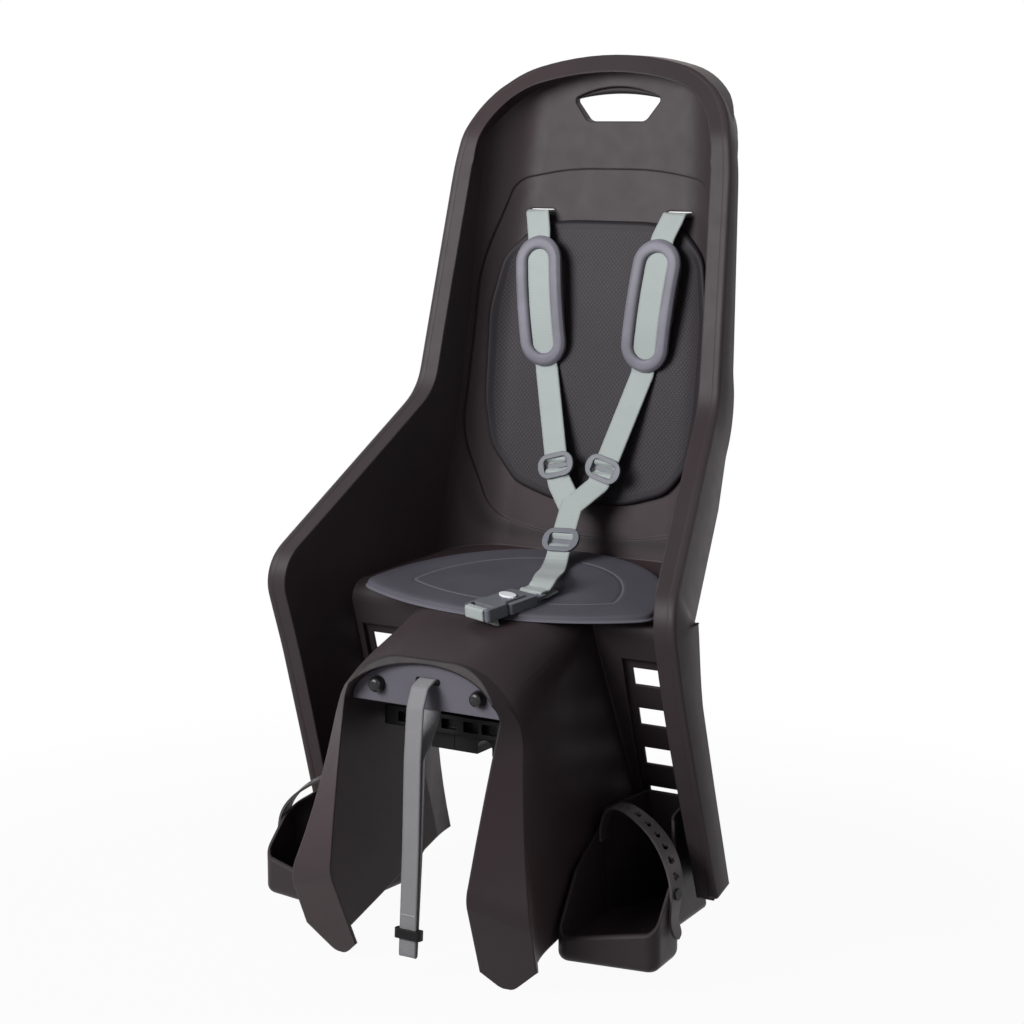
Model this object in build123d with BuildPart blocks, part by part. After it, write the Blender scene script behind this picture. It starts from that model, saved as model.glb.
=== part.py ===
"""Rear child bike seat that clamps on the luggage carrier of a bicycle, in millimetres.

The child looks along -Y, +X is the child's left and +Z is up. The origin lies midway between the two
carrier tubes, at the height of their axes and at the middle of the clamp's length.
"""
import os
from math import acos, cos, degrees, hypot, pi, radians, sin, sqrt

from build123d import *

os.makedirs("parts", exist_ok=True)

# Shell: walls and rim
wall = 3.5
rim_width = 17.0
rim_return = 24.0
seat_top = 634.0
wing_end = -140.0
wing_flare = 0.28
back_recline = 0.139
back_foot_depth = 225.0
back_foot_height = 152.0
bucket_front = -160.0
far = 400.0

# Height, half width at depth zero and corner radius of the bucket, from the wing ends to above the top
bucket_stations = (
    (wing_end, 226.0, 60.0),
    (-40.0, 214.0, 60.0),
    (60.0, 203.0, 60.0),
    (140.0, 198.0, 60.0),
    (350.0, 198.0, 46.0),
    (460.0, 197.5, 49.0),
    (560.0, 197.0, 52.0),
    (seat_top + 26.0, 193.0, 80.0),
)
curl_start = 560.0
curl_rate = 0.0006

# Rim seen from the side: depth and height of the corners, and their radii
rim_head = (232.0, 556.0)
rim_elbow = (176.0, 302.0)
rim_knee = (-17.0, 145.0)
rim_lean = 0.322
rim_radii = (60.0, 60.0, 45.0)
rim_lead = (78.0, 134.0)
rim_tail = 30.0

# Rim seen from the front: one arc over the crown and a smaller one over each shoulder
crown_radius = 301.0
shoulder_radius = 94.0
shoulder_x = 55.4
shoulder_open = 300.0

# Seat pan, nose and ladder panels
pan_front_depth = 25.0
pan_front_height = 112.5
pan_slope = 0.136
nose_droop = 0.00127
panel_depth = 80.0
panel_height = 76.0
panel_lean = 0.30
panel_round = 18.0
pan_rear = 330.0
nose_front = -66.0
nose_top = 90.0
nose_lean = 0.45
nose_seam = 30.0
seam_step = 85.0
seam_low = 4.0

# Depth, half width at the foot, half width at the top and corner radius of the nose
nose_stations = (
    (-150.0, 128.0, 95.0, 78.0),
    (nose_front, 126.0, 96.0, 76.0),
    (-20.0, 121.0, 95.0, 63.0),
    (20.0, 116.0, 94.0, 48.0),
    (50.0, 112.4, 93.0, 30.0),
    (panel_depth, 113.0, 96.0, 18.0),
    (130.0, 118.5, 113.0, 12.0),
    (190.0, 123.0, 120.0, 12.0),
)
nose_foot = -230.0

# Spoke guards: front edge seen from the side at two stations across the guard
guard_inner_x = 60.0
guard_outer_x = 130.0
guard_inner = ((-94.0, 90.0), (-122.5, -104.0), (-77.0, -210.0))
guard_outer = ((-16.0, 90.0), (-103.0, -122.0), (-70.0, -210.0))
guard_round = 40.0
guard_span_x = 170.0
guard_back = 40.0
guard_top = 200.0
guard_rear = 300.0
guard_tip_x = 92.0
guard_tip_height = -207.0
guard_tip_round = 16.0
guard_tip_reach = 70.0
guard_tip_rise = 60.0
tunnel_half_top = 84.0
tunnel_taper = 0.068
tunnel_height = 43.0
plate_rise = 42.0
medial_rear_depth = 48.0
medial_rear_height = -59.0
medial_rear_lean = 0.234
medial_foot = (-93.0, -168.0)
medial_rise = 0.29
lateral_foot = (-76.0, -171.0)
lateral_rise = 0.12
plate_seat = -60.0
ledge = 7.0

# Openings in the shell
handle_half = 50.0
handle_height = 591.0
handle_crown = 12.0
handle_drop = 22.0
handle_foot = 33.0
handle_corner = 4.0
handle_round = 9.0
handle_collar = 5.0
recess_depth = 1.2
recess_front = 200.0
recess_corners = (
    (0.0, 522.0),
    (50.0, 522.0),
    (107.0, 511.0),
    (131.0, 430.0),
    (138.0, 250.0),
    (112.0, 170.0),
    (50.0, 157.5),
    (0.0, 157.5),
)
recess_radii = (300.0, 22.0, 250.0, 150.0, 40.0, 200.0)
slot_x = 78.0
slot_height = 478.0
slot_width = 30.0
slot_gap = 7.0
slot_play = 1.6
slot_lead = 9.0
ladder_x = 147.0
ladder_width = 52.0
ladder_length = 212.0
ladder_depth = 5.0
pocket_wall = 2.5
window_width = 38.0
window_rise = 18.5
window_pitch = 43.0
window_first = 20.5
window_count = 5

# Pads
back_pad_front = 5.0
back_pad_clear = 185.0
back_pad_corners = (
    (0.0, 471.0),
    (45.0, 471.0),
    (84.0, 466.0),
    (113.5, 436.0),
    (123.5, 380.0),
    (123.0, 288.0),
    (115.0, 240.0),
    (88.0, 205.0),
    (40.0, 190.5),
    (0.0, 190.5),
)
back_pad_radii = (350.0, 14.0, 36.0, 220.0, 220.0, 60.0, 50.0, 120.0)
seat_pad_thickness = 7.0
seat_pad_lift = 0.3
seat_pad_round = 2.5
seat_pad_front = 22.0
seat_pad_front_radius = 330.0
seat_pad_rear_radius = 162.0
seat_pad_corner = 25.0
seat_pad_back = 219.0

# Harness webbing and its hardware
web_width = 25.0
web = 1.8
fit = 0.3
touch = 0.05
shoulder_pad_top = (70.3, 250.3, 458.0)
shoulder_pad_foot = (54.7, 239.7, 322.0)
shoulder_pad_length = 132.0
shoulder_pad_width = 52.0
shoulder_pad_front = 5.0
shoulder_pad_rear = 2.4
shoulder_pad_window = 108.0
strap_slider_point = (27.0, 214.0, 229.0)
strap_slider_run = 16.0
slider_lead = 1.15
strap_joint = (4.0, 198.0, 194.0)
strap_joint_normal = (0.0, -0.87, 0.49)
lap_start = (0.0, 199.4, 197.2)
lap_joint = (0.0, 197.0, 193.0)
lap_slider_point = (2.0, 174.0, 161.0)
slider_length = 25.0
slider_width = 40.0
slider_corner = 12.0
slider_rail = 5.0
slider_round = 4.0
slider_cheek = 3.0
slider_plate = 3.0
slider_bar = 6.0
slider_bar_plate = 2.0
anchor_length = 42.0
anchor_height = 10.0
anchor_plate = 2.5
anchor_drop = 7.5
anchor_round = 2.0
anchor_tail = 16.0

# Buckle, in its own plane on the seat pad
buckle_x = 21.5
buckle_y = 27.0
buckle_turn = 16.8
buckle_height = 12.0
buckle_front = -31.0
buckle_half = 17.0
buckle_shoulder = -4.0
buckle_neck = 11.5
buckle_neck_end = 22.0
buckle_round = 4.0
buckle_edge = 1.2
buckle_lap = 4.0
crotch_bar = 4.0
crotch_gap = 7.0
crotch_ledge = 2.0
tongue_half = 18.5
tongue_height = 10.0
tongue_end = 31.0
tongue_bar = 4.0
tongue_bar_end = 44.0
tongue_bar_low = 3.5
tongue_bar_high = 7.0
tongue_round = 3.0
tongue_bar_half = 16.5
tongue_bar_round = 2.0
prong_width = 3.0
prong_length = 8.0
prong_x = 14.0
prong_root = 2.0
button_x = 10.5
button_y = 5.5
button_at = 10.0
button_thickness = 3.0
button_proud = 1.6
button_travel = 2.4
button_gap = 0.25
crotch_slot_at = -14.0
crotch_slot_gap = 6.0
crotch_stop = 4.0
crotch_stop_gap = 0.6
lap_lead_run = 14.0
lap_lead_lift = 2.0

# Front plate and its bolts
plate_thickness = 4.0
plate_edge = 0.8
bolt_x = 54.6
bolt_z = 60.0
bolt_radius = 4.0
bolt_head = 8.0
bolt_dome = 9.0
bolt_taper = 10.0
bolt_round = 4.5
nut_radius = 7.5
nut_height = 5.0
bolt_end = 1.0
strap_slot_z = 69.0
strap_slot_width = 27.0
strap_slot_gap = 6.0

# Safety strap
safety_width = 18.0
safety_front = (
    (-66.8, 71.6),
    (-78.0, 66.0),
    (-86.0, 48.0),
    (-91.0, 2.0),
    (-95.0, -82.0),
    (-102.2, -182.0),
)
safety_rear_start = 3
safety_rear_drop = 30.0
safety_depth = 4.6
safety_slider_z = -160.0
safety_slider_size = (28.0, 9.0, 9.0)
safety_slider_round = 3.0

# Carrier clamp
tube_radius = 8.0
tube_x = 33.0
jaw_end = 48.0
jaw_low = -6.0
jaw_top = 12.0
jaw_half_depth = 20.0
jaw_gap = 0.2
tongue_reach = 40.0
tongue_half_depth = 9.0
tongue_top = 24.0
jaw_travel = 12.0
beam_left = -73.0
beam_right = 60.0
beam_front = -30.0
beam_rear = 24.0
beam_top = 30.0
beam_round = 4.0
beam_pocket_x = (-48.0, -24.0, 0.0, 24.0, 44.0)
beam_pocket_z = 21.0
beam_pocket = (16.0, 10.0, 8.0)
beam_pocket_round = 1.5
spindle_radius = 4.0
spindle_z = 18.0
running_gap = 0.05
spindle_head_radius = 7.0
spindle_head = 3.0
knob_radius = 13.0
knob_length = 16.0
knob_flute = 3.5
knob_flute_out = 1.5
knob_flutes = 8
knob_cap = 3.0
deck_low = 46.0
deck = 4.0
deck_half = 64.0
deck_rear = 14.0
deck_slot = (30.0, 28.0)
neck = 6.0
neck_half = 56.0
lug_inner = 34.0

# Footrest on the child's left; the other one is its mirror image
sole_top = -168.0
sole = 3.0
tray_foot = -180.0
tray_wall = 3.0
tray_corners = (
    (150.0, 160.0),
    (126.0, 102.0),
    (110.5, 66.0),
    (113.5, 20.0),
    (122.0, -45.0),
    (218.0, -30.0),
    (214.0, 20.0),
    (182.0, 72.0),
    (178.2, 160.0),
)
tray_radii = (10.0, 60.0, 14.0, 60.0, 12.0, 12.0, 30.0, 30.0, 10.0)
tray_round = 9.0
tray_foot_wall = 11.0
tray_edge = (
    (-80.0, -160.0),
    (-45.0, -160.0),
    (1.0, -109.0),
    (59.0, -81.0),
    (66.0, -66.0),
    (118.0, -56.0),
    (170.0, -56.0),
)
tray_edge_round = 5.0
tray_back_gap = 5.7
latch_length = 58.0
latch_low = -208.0
latch_gap = 0.4
latch_round = 3.0
foot_strap_width = 18.0
foot_strap = 2.5
foot_strap_points = (
    (116.4, 57.0, -94.0),
    (116.6, 57.0, -80.0),
    (130.0, 53.0, -59.0),
    (160.0, 43.0, -60.0),
    (188.0, 31.0, -73.0),
    (207.0, 17.0, -87.0),
    (217.4, 8.0, -106.0),
    (218.0, 5.0, -126.0),
    (218.4, 4.0, -142.0),
    (222.0, 7.0, -154.0),
)
foot_strap_stations = 20
foot_turn_mid = 0.55
foot_turn_end = 0.12
foot_hole_first = 0.2
foot_hole_pitch = 0.075
foot_strap_holes = 9
lobe_radius = 2.2
lobe_offset = 2.0
stud_radius = 2.0
stud_head = 5.5
stud_head_height = 2.0
stud_end = 0.3


def pan_height(depth):
    """Height of the seat pan, straight behind the front of the pad and drooping over the nose."""
    run = depth - pan_front_depth
    droop = nose_droop * min(run, 0.0) ** 2
    return pan_front_height + pan_slope * run - droop


def panel_y(height):
    """Depth of the front face of the ladder panel."""
    return panel_depth + panel_lean * (panel_height - height)


def back_y(height):
    """Depth of the front face of the backrest, which curls forward at the top."""
    curl = curl_rate * max(height - curl_start, 0.0) ** 2
    return back_foot_depth + back_recline * (height - back_foot_height) - curl


def rim_front_face(inset):
    """Region under the arched top seen from the front, its edge moved in by inset."""
    crown_z = seat_top - crown_radius
    reach = crown_radius - shoulder_radius
    shoulder_z = crown_z + sqrt(reach**2 - shoulder_x**2)
    turn = degrees(acos(shoulder_x / reach))
    side = shoulder_x + shoulder_radius
    with BuildSketch(Plane.XZ) as face:
        with BuildLine():
            CenterArc((0, crown_z), crown_radius, turn, 180 - 2 * turn)
            CenterArc((shoulder_x, shoulder_z), shoulder_radius, 0, turn)
            CenterArc((-shoulder_x, shoulder_z), shoulder_radius, 180 - turn, turn)
            Polyline(
                (-side, shoulder_z),
                (-far, shoulder_open),
                (-far, -far),
                (far, -far),
                (far, shoulder_open),
                (side, shoulder_z),
            )
        make_face()
        if inset:
            offset(amount=-inset)
    return face.sketch


def rim_side_face(inset):
    """Region behind the rim seen from the side, its edge moved back by inset."""
    low = wing_end - rim_tail
    head_end = (rim_head[0] + rim_lead[0], rim_head[1] + rim_lead[1])
    foot = (rim_knee[0] + rim_lean * (rim_knee[1] - low), low)
    with BuildSketch(Plane.YZ) as face:
        with BuildLine():
            FilletPolyline(head_end, rim_head, rim_elbow, rim_knee, foot, radius=rim_radii)
            Polyline(foot, (2 * far, low), (2 * far, head_end[1]), head_end)
        make_face()
        if inset:
            offset(amount=-inset)
    return face.sketch


def bucket_layer(out):
    """Filled bucket whose faces stand outside the shell's inner face by out."""
    side = hypot(1.0, wing_flare) * out
    with BuildPart() as layer:
        for height, half, radius in bucket_stations:
            rear = back_y(height) + out
            front_half = half + side - wing_flare * bucket_front
            rear_half = half + side - wing_flare * rear
            with BuildSketch(Plane.XY.offset(height)) as section:
                with BuildLine():
                    Polyline(
                        (-front_half, bucket_front),
                        (front_half, bucket_front),
                        (rear_half, rear),
                        (-rear_half, rear),
                        close=True,
                    )
                make_face()
                fillet(section.vertices().group_by(Axis.Y)[-1], radius + out)
        loft()
        extrude(rim_front_face(rim_width - out), amount=2 * far, both=True, mode=Mode.INTERSECT)
    return layer.part


def nose_block(inset):
    """Filled nose and guards, cut by no front yet, with every face moved in by inset."""
    with BuildPart() as block:
        for depth, foot_half, top_half, radius in nose_stations:
            top = pan_height(depth) - inset
            with BuildSketch(Plane.XZ.offset(-depth)) as section:
                with BuildLine():
                    Polyline(
                        (-foot_half + inset, nose_foot),
                        (foot_half - inset, nose_foot),
                        (top_half - inset, top),
                        (-top_half + inset, top),
                        close=True,
                    )
                make_face()
                fillet(section.vertices().group_by(Axis.Y)[-1], radius - inset)
        loft()
    return block.part


def guard_front(inset):
    """Region behind the front facets of both spoke guards, moved back by inset."""
    span = guard_outer_x - guard_inner_x
    with BuildPart() as region:
        for x in (0.0, guard_span_x):
            share = (x - guard_inner_x) / span
            points = []
            for (y0, z0), (y1, z1) in zip(guard_inner, guard_outer):
                points.append((y0 + (y1 - y0) * share + inset, z0 + (z1 - z0) * share))
            top = (points[0][0] + guard_back, guard_top)
            with BuildSketch(Plane.YZ.offset(x)):
                with BuildLine():
                    FilletPolyline(top, points[0], points[1], points[2], radius=(guard_round, guard_round))
                    Polyline(points[2], (guard_rear, points[2][1]), (guard_rear, guard_top), top)
                make_face()
        loft(ruled=True)
        mirror(about=Plane.YZ)
    return region.part


def side_region(*points):
    """Face seen from the side, through points given as depth and height."""
    with BuildSketch(Plane.YZ) as face:
        with BuildLine():
            Polyline(*points, close=True)
        make_face()
    return face.sketch


def handle_outline(grow):
    """Outline of the hand hole seen from the front, moved out by grow."""
    with BuildSketch(Plane.XZ) as face:
        with BuildLine():
            ThreePointArc(
                (-handle_half, handle_height),
                (0, handle_height + handle_crown),
                (handle_half, handle_height),
            )
            Polyline(
                (handle_half, handle_height),
                (handle_foot, handle_height - handle_drop),
                (-handle_foot, handle_height - handle_drop),
                (-handle_half, handle_height),
            )
        make_face()
        fillet(face.vertices().group_by(Axis.Y)[0], handle_round)
        fillet(face.vertices().group_by(Axis.Y)[-1], handle_corner)
        if grow:
            offset(amount=grow)
    return face.sketch


def mirrored_face(corners, radii):
    """Face seen from the front, its right half through corners with rounded turns."""
    with BuildSketch(Plane.XZ) as face:
        with BuildLine():
            FilletPolyline(*corners, radius=radii)
            mirror(about=Plane.YZ)
        make_face()
    return face.sketch


def nose_span(front_inset, rear_reach):
    """Region between the slanted front of the nose and the seam behind the ladder panels."""
    front_top = nose_front - nose_lean * (nose_top - guard_top) + front_inset
    front_foot = nose_front - nose_lean * (nose_top + far) + front_inset
    high = nose_seam + rear_reach
    low = seam_low + rear_reach
    return side_region(
        (front_top, guard_top),
        (front_foot, -far),
        (panel_y(-far) + low, -far),
        (panel_y(seam_step) + low, seam_step),
        (panel_y(seam_step) + high, seam_step),
        (panel_y(guard_top) + high, guard_top),
    )


def tunnel_half(height):
    """Half width of the wheel tunnel between the guards."""
    return tunnel_half_top + tunnel_taper * (height - tunnel_height)


def medial_rear(height):
    """Depth of the rear edge of the wall beside the wheel tunnel."""
    return medial_rear_depth + medial_rear_lean * (medial_rear_height - height)


def both_sides(*points):
    """Each point and its mirror image across the middle of the seat."""
    return [(side * x, y) for side in (1, -1) for x, y in points]


def ribbon(points, acrosses, width, thickness):
    """Flat strap through points, its width laid along acrosses as nearly as the path allows."""
    with BuildPart() as strap:
        for index, (point, across) in enumerate(zip(points, acrosses)):
            before = Vector(points[max(index - 1, 0)])
            after = Vector(points[min(index + 1, len(points) - 1)])
            along = (after - before).normalized()
            flat = Vector(across) - along * along.dot(Vector(across))
            with BuildSketch(Plane(origin=point, x_dir=flat, z_dir=along)):
                Rectangle(width, thickness)
        loft(ruled=True)
    return strap.part


def strap_plane(start, end, share, across):
    """Plane lying in a strap between two points: x across it, y up it and z out of its front."""
    along = (Vector(start) - Vector(end)).normalized()
    flat = Vector(across) - along * along.dot(Vector(across))
    origin = Vector(start) + (Vector(end) - Vector(start)) * share
    return Plane(origin=origin, x_dir=flat, z_dir=flat.cross(along))


def ladder_slider(plane):
    """Oval slider on a strap lying in plane: a frame before the strap and a bar behind it."""
    half = web / 2 + touch
    with BuildPart() as slider:
        with BuildSketch(plane.offset(half)):
            RectangleRounded(slider_width, slider_length, slider_corner)
            window = slider_length - 2 * slider_rail
            RectangleRounded(web_width + 4 * fit, window, slider_round, mode=Mode.SUBTRACT)
        extrude(amount=slider_plate)
        post = (slider_width - web_width) / 2 - slider_cheek
        with BuildSketch(plane.offset(half)):
            with Locations(*both_sides((web_width / 2 + fit + post / 2, 0))):
                Rectangle(post, slider_bar)
        extrude(amount=-2 * half)
        with BuildSketch(plane.offset(-half)):
            Rectangle(web_width + 2 * fit + 2 * post, slider_bar)
        extrude(amount=-slider_bar_plate)
    return slider.part


def strap_eye(plane, bar_y, bar_low, bar_length, bar_height):
    """Sewn eye of webbing round a flat bar of the buckle."""
    with BuildPart() as eye:
        with BuildSketch(Plane(origin=plane.origin, x_dir=plane.y_dir, z_dir=plane.x_dir)):
            with Locations((bar_y, bar_low + bar_height / 2)):
                grow = 2 * touch
                RectangleRounded(bar_length + grow + 2 * web, bar_height + grow + 2 * web, web)
                RectangleRounded(bar_length + grow, bar_height + grow, touch, mode=Mode.SUBTRACT)
        extrude(amount=web_width / 2, both=True)
    return eye.part


def tray_outline(inset):
    """Plan of the left footrest tray, its edge moved in by inset."""
    with BuildSketch(Plane.XY.offset(tray_foot)) as face:
        with BuildLine():
            Polyline(*tray_corners, close=True)
        make_face()
        for corner, radius in zip(tray_corners, tray_radii):
            fillet(face.vertices().sort_by_distance((*corner, 0))[0], radius)
        if inset:
            offset(amount=-inset)
    return face.sketch


def behind_tray(gap):
    """Solid filling the space behind a plane before the ladder panel."""
    with BuildPart() as block:
        with BuildSketch(ladder_plane.offset(gap)):
            Rectangle(4 * far, 4 * far)
        extrude(amount=-far)
    return block.part


def foot_across(share):
    """Width direction of the footrest strap, turning with the walls at its ends."""
    return Vector(foot_turn_mid * sin(pi * share) ** 2 - foot_turn_end, 1.0, 0.0)


def foot_plane(share):
    """Plane in the footrest strap: x across it, z out of its outer side."""
    along = strap_curve % share
    flat = foot_across(share) - along * along.dot(foot_across(share))
    return Plane(origin=strap_curve @ share, x_dir=flat, z_dir=along.cross(flat))


def finish(part, name):
    """Name a finished piece and write its file."""
    part.label = name
    export_step(part, f"parts/{name}.step")


def finish_pair(left, name):
    """Write a piece on the child's left and its mirror image on the right."""
    finish(left, f"{name}_left")
    finish(mirror(left, about=Plane.YZ), f"{name}_right")


# Planes of the ladder panels, the seat pan and the buckle
ladder_plane = Plane(
    origin=(0, panel_depth, panel_height), x_dir=(1, 0, 0), z_dir=(0, -1, -panel_lean)
)
pan_plane = Plane(
    origin=(0, pan_front_depth, pan_front_height + seat_pad_lift), x_dir=(1, 0, 0), z_dir=(0, -pan_slope, 1)
)
turn = radians(buckle_turn)
buckle_lift = (seat_pad_thickness + seat_pad_lift) * hypot(1, pan_slope) + touch
buckle_z = pan_front_height + pan_slope * (buckle_y - pan_front_depth) + buckle_lift
buckle_plane = Plane(
    origin=(buckle_x, buckle_y, buckle_z),
    x_dir=(cos(turn), -sin(turn), -sin(turn) * pan_slope),
    z_dir=(0, -pan_slope, 1),
)


# Layers of the bucket: inner face, outer face, inside of the rim's return and edge of the rim
inner_layer = bucket_layer(0.0)
outer_layer = bucket_layer(wall)
return_layer = bucket_layer(rim_width - wall)
rim_layer = bucket_layer(rim_width)
recess_layer = bucket_layer(recess_depth)

# Space under the pan and behind the ladder panels, where the shell is open
under_pan = side_region(
    (panel_y(panel_height) + wall, panel_height),
    (panel_y(-far) + wall, -far),
    (2 * far, -far),
    (2 * far, pan_height(2 * far) - wall),
    (panel_depth + nose_seam, pan_height(panel_depth + nose_seam) - wall),
)

with BuildPart() as nose:
    add(nose_block(0.0))
    add(guard_front(0.0), mode=Mode.INTERSECT)
    extrude(nose_span(0.0, 0.0), amount=far, both=True, mode=Mode.INTERSECT)

with BuildPart() as nose_hollow:
    add(nose_block(wall))
    add(guard_front(wall), mode=Mode.INTERSECT)
    extrude(nose_span(wall, nose_seam), amount=far, both=True, mode=Mode.INTERSECT)

# Walls on both sides of the wheel tunnel
with BuildPart() as medial_walls:
    for side in (1, -1):
        with BuildSketch(Plane.XZ):
            with BuildLine():
                Polyline(
                    (side * tunnel_half(nose_foot), nose_foot),
                    (side * (tunnel_half(nose_foot) + wall), nose_foot),
                    (side * (tunnel_half(nose_top) + wall), nose_top),
                    (side * tunnel_half(nose_top), nose_top),
                    close=True,
                )
            make_face()
        extrude(amount=far, both=True)
    add(nose.part, mode=Mode.INTERSECT)
    rear_run = medial_rear(medial_foot[1]) - medial_foot[0]
    heel = medial_foot[1] + medial_rise * rear_run / (1 + medial_rise * medial_rear_lean)
    keep = side_region(
        (-far, far),
        (medial_rear(far), far),
        (medial_rear(heel), heel),
        medial_foot,
        (medial_foot[0], -far),
        (-far, -far),
    )
    extrude(keep, amount=far, both=True, mode=Mode.INTERSECT)

# Collar round the arched opening, with a ledge that carries the front plate
with BuildPart() as collar:
    with BuildSketch(Plane.XZ.offset(-plate_seat - wall)):
        with Locations((0, tunnel_height)):
            Ellipse(tunnel_half_top + wall, plate_rise + wall)
        with Locations((0, tunnel_height + far / 2)):
            Rectangle(far, far, mode=Mode.INTERSECT)
    extrude(amount=far)
    add(nose.part, mode=Mode.INTERSECT)
    with BuildSketch(Plane.XZ.offset(-plate_seat)):
        with Locations((0, tunnel_height)):
            Ellipse(tunnel_half_top, plate_rise)
    extrude(amount=far, mode=Mode.SUBTRACT)
    with BuildSketch(Plane.XZ):
        with Locations((0, tunnel_height)):
            Ellipse(tunnel_half_top - ledge, plate_rise - ledge)
    extrude(amount=far, both=True, mode=Mode.SUBTRACT)

with BuildPart() as guards:
    add(nose.part)
    add(nose_hollow.part, mode=Mode.SUBTRACT)
    below = side_region(
        (lateral_foot[0], -far),
        lateral_foot,
        (lateral_foot[0] + far, lateral_foot[1] + lateral_rise * far),
        (lateral_foot[0] + far, -far),
    )
    extrude(below, amount=far, both=True, mode=Mode.SUBTRACT)
    add(medial_walls.part)
    with BuildSketch(Plane.XZ):
        with BuildLine():
            Polyline(
                (-tunnel_half(tunnel_height), tunnel_height),
                (-tunnel_half(nose_foot), nose_foot),
                (tunnel_half(nose_foot), nose_foot),
                (tunnel_half(tunnel_height), tunnel_height),
                close=True,
            )
        make_face()
        with Locations((0, tunnel_height)):
            Ellipse(tunnel_half_top, plate_rise)
    extrude(amount=far, both=True, mode=Mode.SUBTRACT)
    for side in (1, -1):
        with BuildSketch(Plane.XZ) as tip:
            with BuildLine():
                Polyline(
                    (side * (guard_tip_x - guard_tip_reach), guard_tip_height + guard_tip_rise),
                    (side * guard_tip_x, guard_tip_height),
                    (side * (guard_tip_x + guard_tip_reach), guard_tip_height + guard_tip_rise),
                    (side * (guard_tip_x + guard_tip_reach), -far),
                    (side * (guard_tip_x - guard_tip_reach), -far),
                    close=True,
                )
            make_face()
            point = (side * guard_tip_x, guard_tip_height, 0)
            fillet(tip.vertices().sort_by_distance(point)[0], guard_tip_round)
        extrude(amount=far, both=True, mode=Mode.SUBTRACT)
    add(collar.part)


# Rim: bevelled flange round the bucket and the return behind it
with BuildPart() as rim:
    add(rim_layer)
    add(inner_layer, mode=Mode.SUBTRACT)
    extrude(rim_side_face(0.0), amount=far, both=True, mode=Mode.INTERSECT)
    extrude(rim_side_face(wall), amount=far, both=True, mode=Mode.SUBTRACT)

with BuildPart() as rim_lip:
    add(rim_layer)
    add(return_layer, mode=Mode.SUBTRACT)
    extrude(rim_side_face(0.0), amount=far, both=True, mode=Mode.INTERSECT)
    extrude(rim_side_face(rim_return), amount=far, both=True, mode=Mode.SUBTRACT)

# Seat pan and ladder panels, bent from one sheet
with BuildPart() as pan:
    edge_z = pan_height(panel_y(pan_front_height))
    with BuildSketch(Plane.YZ):
        with BuildLine():
            bend = FilletPolyline(
                (pan_rear, pan_height(pan_rear)),
                (panel_y(edge_z), edge_z),
                (panel_y(wing_end), wing_end),
                radius=panel_round,
            )
            offset(bend, amount=wall, side=Side.LEFT)
        make_face()
    extrude(amount=far, both=True)
    add(bucket_layer(wall / 2), mode=Mode.INTERSECT)
    add(nose.part, mode=Mode.SUBTRACT)


with BuildPart() as handle_collar_ring:
    extrude(handle_outline(pocket_wall), amount=-back_y(handle_height) - wall - handle_collar)
    add(inner_layer, mode=Mode.SUBTRACT)

# Shallow panel in the backrest that frames the pad
with BuildPart() as recess:
    extrude(mirrored_face(recess_corners, recess_radii), amount=-far)
    add(recess_layer, mode=Mode.INTERSECT)
    add(inner_layer, mode=Mode.SUBTRACT)
    with BuildSketch(Plane.XZ):
        Rectangle(2 * far, 4 * far)
    extrude(amount=-recess_front, mode=Mode.SUBTRACT)


with BuildPart() as shell:
    add(outer_layer)
    add(inner_layer, mode=Mode.SUBTRACT)
    extrude(rim_side_face(0.0), amount=far, both=True, mode=Mode.INTERSECT)
    extrude(under_pan, amount=far, both=True, mode=Mode.SUBTRACT)
    add(rim.part)
    add(rim_lip.part)
    add(pan.part)
    add(guards.part)
    # Ladder pockets and their windows
    with BuildSketch(ladder_plane):
        with Locations(*both_sides((ladder_x, -ladder_length / 2))):
            Rectangle(ladder_width + 2 * pocket_wall, ladder_length + 2 * pocket_wall)
    extrude(amount=-ladder_depth - pocket_wall)
    with BuildSketch(ladder_plane):
        with Locations(*both_sides((ladder_x, -ladder_length / 2))):
            Rectangle(ladder_width, ladder_length)
    extrude(amount=-ladder_depth, mode=Mode.SUBTRACT)
    with BuildSketch(ladder_plane):
        for step in range(window_count):
            with Locations(*both_sides((ladder_x, -window_first - window_pitch * step))):
                Rectangle(window_width, window_rise)
    extrude(amount=-ladder_depth - 2 * wall, mode=Mode.SUBTRACT)
    # Hand hole in the head of the backrest, with a collar behind it
    add(handle_collar_ring.part)
    extrude(handle_outline(0.0), amount=far, both=True, mode=Mode.SUBTRACT)
    # Slots for the shoulder straps
    with BuildSketch(Plane.XZ):
        with Locations(*both_sides((slot_x, slot_height))):
            SlotOverall(slot_width, slot_gap)
    extrude(amount=-far, mode=Mode.SUBTRACT)
    add(recess.part, mode=Mode.SUBTRACT)
    # Slot for the crotch strap
    with BuildSketch(buckle_plane):
        with Locations((0, crotch_slot_at)):
            Rectangle(web_width + 4 * fit, crotch_slot_gap)
    extrude(amount=-6 * wall, mode=Mode.SUBTRACT)
finish(shell.part, "shell")

# Backrest pad, lying in its shallow panel
with BuildPart() as backrest_pad:
    extrude(mirrored_face(back_pad_corners, back_pad_radii), amount=-far)
    add(bucket_layer(recess_depth - touch), mode=Mode.INTERSECT)
    add(bucket_layer(-back_pad_front), mode=Mode.SUBTRACT)
    with BuildSketch(Plane.XZ):
        Rectangle(2 * far, 4 * far)
    extrude(amount=-back_pad_clear, mode=Mode.SUBTRACT)
finish(backrest_pad.part, "backrest_pad")

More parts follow.
